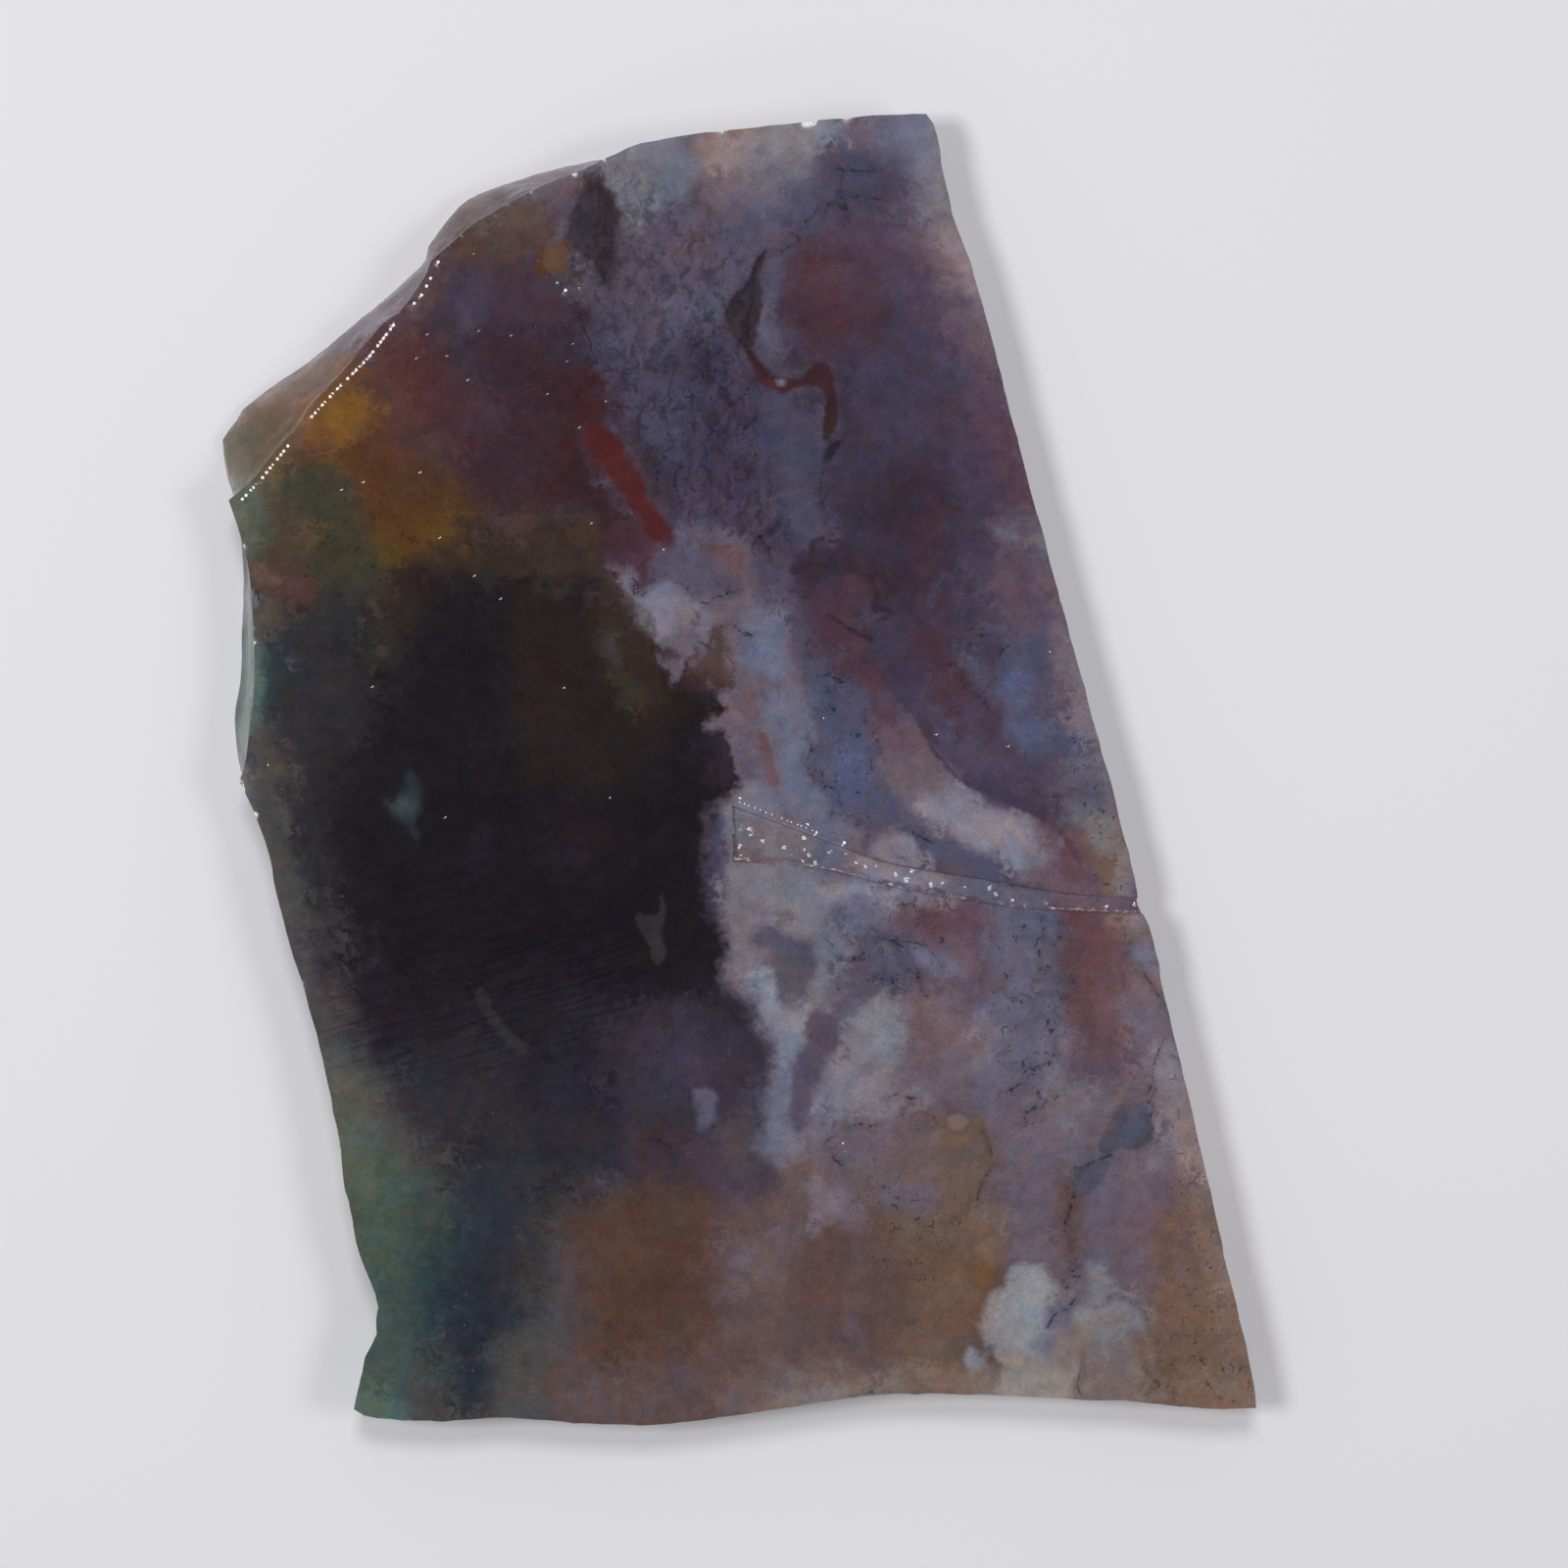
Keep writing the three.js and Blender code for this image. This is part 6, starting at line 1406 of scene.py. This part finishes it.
def facet_rise(x, y):
    """How steeply a facet that mirrors the left light rises to the right and upwards at the given place."""
    return FACET_RISE[0] + FACET_TURN * x, FACET_RISE[1] + FACET_TURN * y


def slanting(points, x, y):
    """Heights of the points on a facet's plane through the given place."""
    right, up = facet_rise(x, y)
    return right * (points[:, 0] - x) + up * (points[:, 1] - y)


def sawn_triangles(verts, triangles):
    return np.logical_or(*((verts[:, 2] == level)[triangles].all(axis=1) for level in (0.0, THICKNESS)))


def roughened(verts, triangles):
    """Presses lumps into the broken surfaces, chips into their edges and dents into the front face."""
    on_front = verts[:, 2] == THICKNESS
    on_back = verts[:, 2] == 0.0
    broken = np.zeros(len(verts), bool)
    broken[triangles[~sawn_triangles(verts, triangles)]] = True
    edge = broken & (on_front | on_back)
    lumps = 0.5 + 0.5 * fractal(verts, LUMP_SIZE, seed=71, octaves=3)
    in_scar = (depth_in(area(*SCAR), verts[:, :2]) > 0.0) & (verts[:, 2] > 0.5 * THICKNESS)
    lumps *= 1.0 + SCAR_LUMPS * in_scar
    lumps *= 1.0 - PIT_CALM * in_smooth_pits(verts)
    lumps *= smoothstep(0.0, LUMPS_FADE, THICKNESS - verts[:, 2])
    chips = smoothstep(0.05, 0.6, fractal(verts, CHIP_SIZE, seed=77, octaves=2))
    pressed = np.where(edge, CHIP_DEPTH * chips, np.where(broken, LUMP_HEIGHT * lumps, 0.0))
    moved = verts - point_normals(verts, triangles) * pressed[:, None]
    for x, y in DENTS:
        middle = on_front & (np.abs(verts[:, :2] - (x, y)).max(axis=1) < WELD)
        moved[middle, 2] -= DENT_RADIUS * math.cos(math.pi / 6.0) * math.hypot(*facet_rise(x, y))
    for x, y in GLINTS:
        disc = on_front & (np.hypot(verts[:, 0] - x, verts[:, 1] - y) < GLINT_RADIUS + WELD)
        drop = GLINT_RADIUS * math.hypot(*facet_rise(x, y))
        moved[disc, 2] = THICKNESS + slanting(moved[disc], x, y) - drop
    floor_of_scar = broken & ~edge & in_scar
    for x, y, radius in NICKS:
        disc = floor_of_scar & (np.hypot(moved[:, 0] - x, moved[:, 1] - y) < radius)
        if disc.any():
            slant = slanting(moved[disc], x, y)
            moved[disc, 2] = moved[disc, 2].mean() + slant - slant.mean()
    return moved


def crisp_outlines(mesh, sawn):
    """Marks the edges where sawn and broken surfaces meet as sharp."""
    sides = np.empty(len(mesh.loops), np.int32)
    mesh.loops.foreach_get("edge_index", sides)
    sides = sides.reshape(-1, 3)
    sharp = np.zeros(len(mesh.edges), bool)
    mesh.edges.foreach_get("use_edge_sharp", sharp)
    beside_sawn = np.zeros(len(mesh.edges), bool)
    beside_sawn[sides[sawn]] = True
    beside_broken = np.zeros(len(mesh.edges), bool)
    beside_broken[sides[~sawn]] = True
    mesh.edges.foreach_set("use_edge_sharp", sharp | (beside_sawn & beside_broken))


def facets(verts, triangles):
    """Whether each triangle is a flat facet of a dent in the front face, or of a nick in the scar's floor."""
    on_front = verts[:, 2] == THICKNESS
    middle = np.zeros(len(verts), bool)
    for place in DENTS + GLINTS:
        middle |= on_front & (np.abs(verts[:, :2] - place).max(axis=1) < WELD)
    found = middle[triangles].any(axis=1)
    below_front = ~on_front & (verts[:, 2] > 0.5 * THICKNESS)
    for x, y, radius in NICKS:
        disc = below_front & (np.hypot(verts[:, 0] - x, verts[:, 1] - y) < radius)
        found |= disc[triangles].all(axis=1)
    return found


def places_on_lines(shapes):
    """Evenly spaced places along the middles of thin bands."""
    found = []
    for shape in shapes:
        if 0.0 < shape["half"] < THIN_HALF:
            line = shape["line"]
            run = np.concatenate([[0.0], np.cumsum(np.linalg.norm(np.diff(line, axis=0), axis=1))])
            at = np.linspace(0.0, run[-1], max(2, round(run[-1] / MARK_SPACING)))
            found.append(np.column_stack([np.interp(at, run, line[:, 0]), np.interp(at, run, line[:, 1])]))
    return np.concatenate(found)


def places_at_dents():
    """The middle of each dent and facet in the front face, and six places round it."""
    turns = (np.arange(6) + 0.5) * math.pi / 3.0
    ring = np.concatenate([[[0.0, 0.0]], np.column_stack([np.cos(turns), np.sin(turns)])])
    middles = [(DENT_RADIUS, place) for place in DENTS] + [(GLINT_RADIUS, place) for place in GLINTS]
    return np.concatenate([np.array([place]) + radius * ring for radius, place in middles])


def apart(points, distance):
    """The points in their order, without those that come closer than distance to an earlier one."""
    kept = []
    for p in points:
        if all((p[0] - q[0]) ** 2 + (p[1] - q[1]) ** 2 > distance ** 2 for q in kept):
            kept.append(p)
    return np.array(kept)


marked_places = np.concatenate([places_at_dents(), places_on_lines([*CRACKS, *INK.values()])])
verts, triangles = fine_surface(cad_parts["slab"], apart(marked_places, 0.5 * MARK_SPACING))
mesh = bpy.data.meshes.new("agate")
mesh.from_pydata((roughened(verts, triangles) * MM).tolist(), [], triangles.tolist())
mesh.shade_smooth()
mesh.set_sharp_from_angle(angle=math.radians(SHARP_EDGE))
mesh.polygons.foreach_set("use_smooth", ~facets(verts, triangles))
crisp_outlines(mesh, sawn_triangles(verts, triangles))
add_colours(mesh, verts)
agate = bpy.data.objects.new("agate", mesh)
bpy.context.scene.collection.objects.link(agate)
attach(agate, "root")
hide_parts("slab")


# Shader nodes

class Shading:
    """A material's nodes. Each method adds one node and gives back its output."""

    def __init__(self, name):
        self.material = bpy.data.materials.new(name)
        self.material.use_nodes = True
        self.nodes = self.material.node_tree.nodes
        self.links = self.material.node_tree.links
        self.shader = self.nodes["Principled BSDF"]

    def add(self, kind, *inputs, **settings):
        node = self.nodes.new("ShaderNode" + kind)
        for name, value in settings.items():
            setattr(node, name, value)
        for socket, value in zip(node.inputs, inputs):
            self.feed(socket, value)
        return node

    def feed(self, socket, value):
        if isinstance(value, bpy.types.NodeSocket):
            self.links.new(value, socket)
        elif value is not None:
            socket.default_value = value

    def maths(self, operation, *inputs):
        return self.add("Math", *inputs, operation=operation).outputs[0]

    def colour(self, name):
        return self.add("Attribute", attribute_name=name).outputs["Color"]

    def value(self, name):
        return self.add("Attribute", attribute_name=name).outputs["Fac"]

    def smooth(self, value, low, high, to_low=0.0, to_high=1.0):
        node = self.add("MapRange", value, low, high, to_low, to_high, interpolation_type="SMOOTHSTEP")
        return node.outputs["Result"]

    def mix(self, share, a, b, blend="MIX"):
        node = self.add("Mix", data_type="RGBA", blend_type=blend)
        self.feed(node.inputs["Factor"], share)
        self.feed(node.inputs[6], a)
        self.feed(node.inputs[7], b)
        return node.outputs[2]

    def measured(self, place, sizes, turn=0.0):
        """The place in units of the given sizes, along axes turned counter-clockwise by the given degrees."""
        node = self.add("Mapping", place, vector_type="TEXTURE")
        node.inputs["Scale"].default_value = sizes
        node.inputs["Rotation"].default_value = (0.0, 0.0, math.radians(turn))
        return node.outputs[0]

    def noise(self, place, size, detail=2.0, roughness=0.5):
        """Noise from 0 to 1 with lumps of about the given size."""
        node = self.add("TexNoise", place)
        node.inputs["Scale"].default_value = 1.0 / size
        node.inputs["Detail"].default_value = detail
        node.inputs["Roughness"].default_value = roughness
        return node.outputs["Fac"]

    def warped(self, place, size, amount):
        """The place moved about by noise, by up to about the given amount."""
        node = self.add("TexNoise", place)
        node.inputs["Scale"].default_value = 1.0 / size
        centred = self.add("VectorMath", node.outputs["Color"], (0.5, 0.5, 0.5), operation="SUBTRACT")
        moved = self.add("VectorMath", centred.outputs[0], operation="SCALE")
        moved.inputs["Scale"].default_value = 2.0 * amount
        return self.add("VectorMath", place, moved.outputs[0], operation="ADD").outputs[0]


def layered_colour(s, place):
    """The stone's colour from its layers: ground, dark mass, sharp patches and veins."""
    wander = s.maths("SUBTRACT", s.noise(place, size=0.9, detail=5.0, roughness=0.65), 0.5)
    swirl = s.noise(s.warped(place, size=1.3, amount=1.2), size=1.0, detail=5.0, roughness=0.7)
    swirl = s.smooth(swirl, low=0.42, high=0.58)

    def edge(name, ragged, softness):
        depth = s.maths("MULTIPLY_ADD", wander, ragged, s.value(name))
        return s.smooth(s.maths("DIVIDE", depth, softness), -1.0, 1.0)

    ground = s.mix(swirl, s.colour("ground"), s.colour("ground_beside"))
    dark = s.mix(swirl, s.colour("dark"), s.colour("dark_beside"))
    colour = s.mix(edge("shore_depth", ragged=2.2, softness=s.value("shore_softness")), ground, dark)
    colour = s.mix(edge("figure_depth", ragged=1.4, softness=0.5), colour, s.colour("figure"))
    return s.mix(edge("ink_depth", ragged=0.9, softness=0.25), colour, s.colour("ink"))


def textured(s, place, colour):
    """The colour with fine clouds, grain and dark wisps."""
    tint = s.noise(s.measured(place, (1.0, 1.0, 1.0), turn=40.0), size=0.7, detail=5.0, roughness=0.7)
    tint = s.mix(s.smooth(tint, low=0.25, high=0.75), BLUE_TINT, RED_TINT)
    tinted = s.mix(1.0, colour, tint, "MULTIPLY")
    clouds = s.noise(place, size=1.5, detail=6.0, roughness=0.7)
    clouds = s.smooth(clouds, low=0.25, high=0.75, to_low=0.84, to_high=1.16)
    grain = s.smooth(s.noise(place, size=0.22), low=0.2, high=0.8, to_low=0.88, to_high=1.12)
    wisp = s.measured(s.warped(place, size=1.6, amount=1.6), (0.8, 2.2, 1.0), turn=-8.0)
    wisp = s.noise(wisp, size=1.0, detail=4.0, roughness=0.6)
    wisps = s.maths("MULTIPLY", s.value("fibres"), s.smooth(wisp, low=0.42, high=0.66, to_high=0.45))
    gain = s.maths("MULTIPLY", s.maths("MULTIPLY", clouds, grain), s.maths("SUBTRACT", 1.0, wisps))
    return s.mix(1.0, tinted, gain, "MULTIPLY")


def marked(s, place, colour):
    """The colour with saw marks, dark strokes, pale flecks and cracks."""
    scratch = s.measured(place, (7.0, 0.32, 1.0), turn=17.0)
    scratch = s.noise(scratch, size=1.0, detail=3.0, roughness=0.6)
    marks = s.maths("MULTIPLY", s.value("saw_marks"), s.smooth(scratch, low=0.42, high=0.66))
    colour = s.mix(s.maths("MULTIPLY", marks, SAW_MARK_SHARE), colour, BLACK)

    turned = s.measured(s.warped(place, size=1.0, amount=1.2), (0.4, 1.1, 1.0), turn=-15.0)
    stroke = s.smooth(s.noise(turned, size=1.0, detail=3.0, roughness=0.55), low=0.6, high=0.68)
    stroke = s.maths("MULTIPLY", stroke, s.maths("MULTIPLY", s.value("dark_flecks"), DARK_FLECK_SHARE))
    colour = s.mix(stroke, colour, STROKE_INK)

    bright = s.noise(s.warped(place, size=0.5, amount=0.6), size=0.32, detail=2.0, roughness=0.6)
    bright = s.smooth(bright, low=0.68, high=0.76)
    bright = s.maths("MULTIPLY", bright, s.maths("MULTIPLY", s.value("pale_flecks"), PALE_FLECK_SHARE))
    colour = s.mix(bright, colour, FLECK_WHITE)

    wander = s.maths("SUBTRACT", s.noise(place, size=0.45, detail=4.0, roughness=0.7), 0.5)
    patchy = s.smooth(s.noise(place, size=0.8, detail=3.0, roughness=0.6), low=0.38, high=0.5)
    core = s.smooth(s.maths("MULTIPLY_ADD", wander, 0.5, s.value("crack_depth")), low=0.0, high=0.12)
    halo = s.smooth(s.maths("MULTIPLY_ADD", wander, 1.4, s.value("crack_depth")), low=-0.6, high=0.2)
    crack = s.maths("MAXIMUM", s.maths("MULTIPLY", s.maths("MULTIPLY", core, patchy), CRACK_SHARE),
                    s.maths("MULTIPLY", halo, HALO_SHARE))
    return s.mix(crack, colour, CRACK_INK)


def surface_height(s, place):
    """Height of the fine relief, in millimetres: grain on broken stone, almost nothing on sawn stone."""
    grain = s.noise(place, size=0.45, detail=4.0, roughness=0.6)
    height = s.maths("MULTIPLY_ADD", s.value("broken"), BROKEN_GRAIN, SAWN_GRAIN)
    return s.maths("MULTIPLY", grain, height)


def stone_material():
    s = Shading("agate")
    metres = s.add("TexCoord").outputs["Object"]
    place = s.measured(metres, (MM, MM, MM))
    colour = marked(s, place, textured(s, place, layered_colour(s, place)))
    bump = s.add("Bump")
    bump.inputs["Strength"].default_value = 1.0
    bump.inputs["Distance"].default_value = MM
    s.feed(bump.inputs["Height"], surface_height(s, place))
    roughness = s.noise(place, size=1.6, detail=4.0, roughness=0.6)
    roughness = s.smooth(roughness, 0.25, 0.75, *WET_ROUGHNESS)
    roughness = s.maths("MULTIPLY_ADD", s.value("dull"), DULL_ROUGHNESS, roughness)
    s.feed(s.shader.inputs["Base Color"], colour)
    s.feed(s.shader.inputs["Roughness"], roughness)
    s.feed(s.shader.inputs["Normal"], bump.outputs[0])
    return s.material


mesh.materials.append(stone_material())

# Floor
floor_mesh = bpy.data.meshes.new("floor")
half = FLOOR_HALF
corners = [(-half, -half, 0), (half, -half, 0), (half, half, 0), (-half, half, 0)]
floor_mesh.from_pydata(corners, [], [(0, 1, 2, 3)])
floor = bpy.data.objects.new("floor", floor_mesh)
bpy.context.scene.collection.objects.link(floor)
floor_material = bpy.data.materials.new("floor")
floor_material.use_nodes = True
floor_shader = floor_material.node_tree.nodes["Principled BSDF"]
floor_shader.inputs["Base Color"].default_value = FLOOR_COLOUR
floor_shader.inputs["Roughness"].default_value = FLOOR_ROUGHNESS
floor_mesh.materials.append(floor_material)


# Light

def lamp(name, azimuth, elevation, distance, size, power):
    """A square soft light that looks at the slab, in degrees, metres and watts. Azimuth 0 is +X, 90 is +Y."""
    data = bpy.data.lights.new(name, "AREA")
    data.shape = "SQUARE"
    data.size = size
    data.energy = power
    light = bpy.data.objects.new(name, data)
    a, e = math.radians(azimuth), math.radians(elevation)
    place = Vector((math.cos(a) * math.cos(e), math.sin(a) * math.cos(e), math.sin(e))) * distance
    light.location = place
    light.rotation_mode = "QUATERNION"
    light.rotation_quaternion = (-place).to_track_quat("-Z", "Y")
    bpy.context.scene.collection.objects.link(light)


lamp("light_left", azimuth=176, elevation=63, distance=0.6, size=0.14, power=1.35)
lamp("light_right", azimuth=-8, elevation=51, distance=0.6, size=0.16, power=0.62)
lamp("light_top", azimuth=90, elevation=66, distance=0.7, size=0.16, power=1.35)

world = bpy.data.worlds.new("studio")
world.use_nodes = True
bpy.context.scene.world = world
nodes, links = world.node_tree.nodes, world.node_tree.links
background = nodes["Background"]
direction = nodes.new("ShaderNodeTexCoord")
split = nodes.new("ShaderNodeSeparateXYZ")
ramp = nodes.new("ShaderNodeValToRGB")
links.new(direction.outputs["Generated"], split.inputs[0])
links.new(split.outputs["Z"], ramp.inputs["Fac"])
links.new(ramp.outputs["Color"], background.inputs["Color"])
for stop, (height, colour) in zip(ramp.color_ramp.elements, (STUDIO_LOW, STUDIO_HIGH)):
    stop.position = height
    stop.color = colour
background.inputs["Strength"].default_value = 1.0

# Camera
camera_data = bpy.data.cameras.new("camera")
camera_data.sensor_width = SENSOR
camera_data.lens = SENSOR * (CAMERA_HEIGHT - THICKNESS) / VIEW_WIDTH
camera = bpy.data.objects.new("camera", camera_data)
camera.location = (CAMERA_OVER[0] * MM, CAMERA_OVER[1] * MM, CAMERA_HEIGHT * MM)
bpy.context.scene.collection.objects.link(camera)
bpy.context.scene.camera = camera
bpy.context.scene.view_settings.view_transform = "Standard"
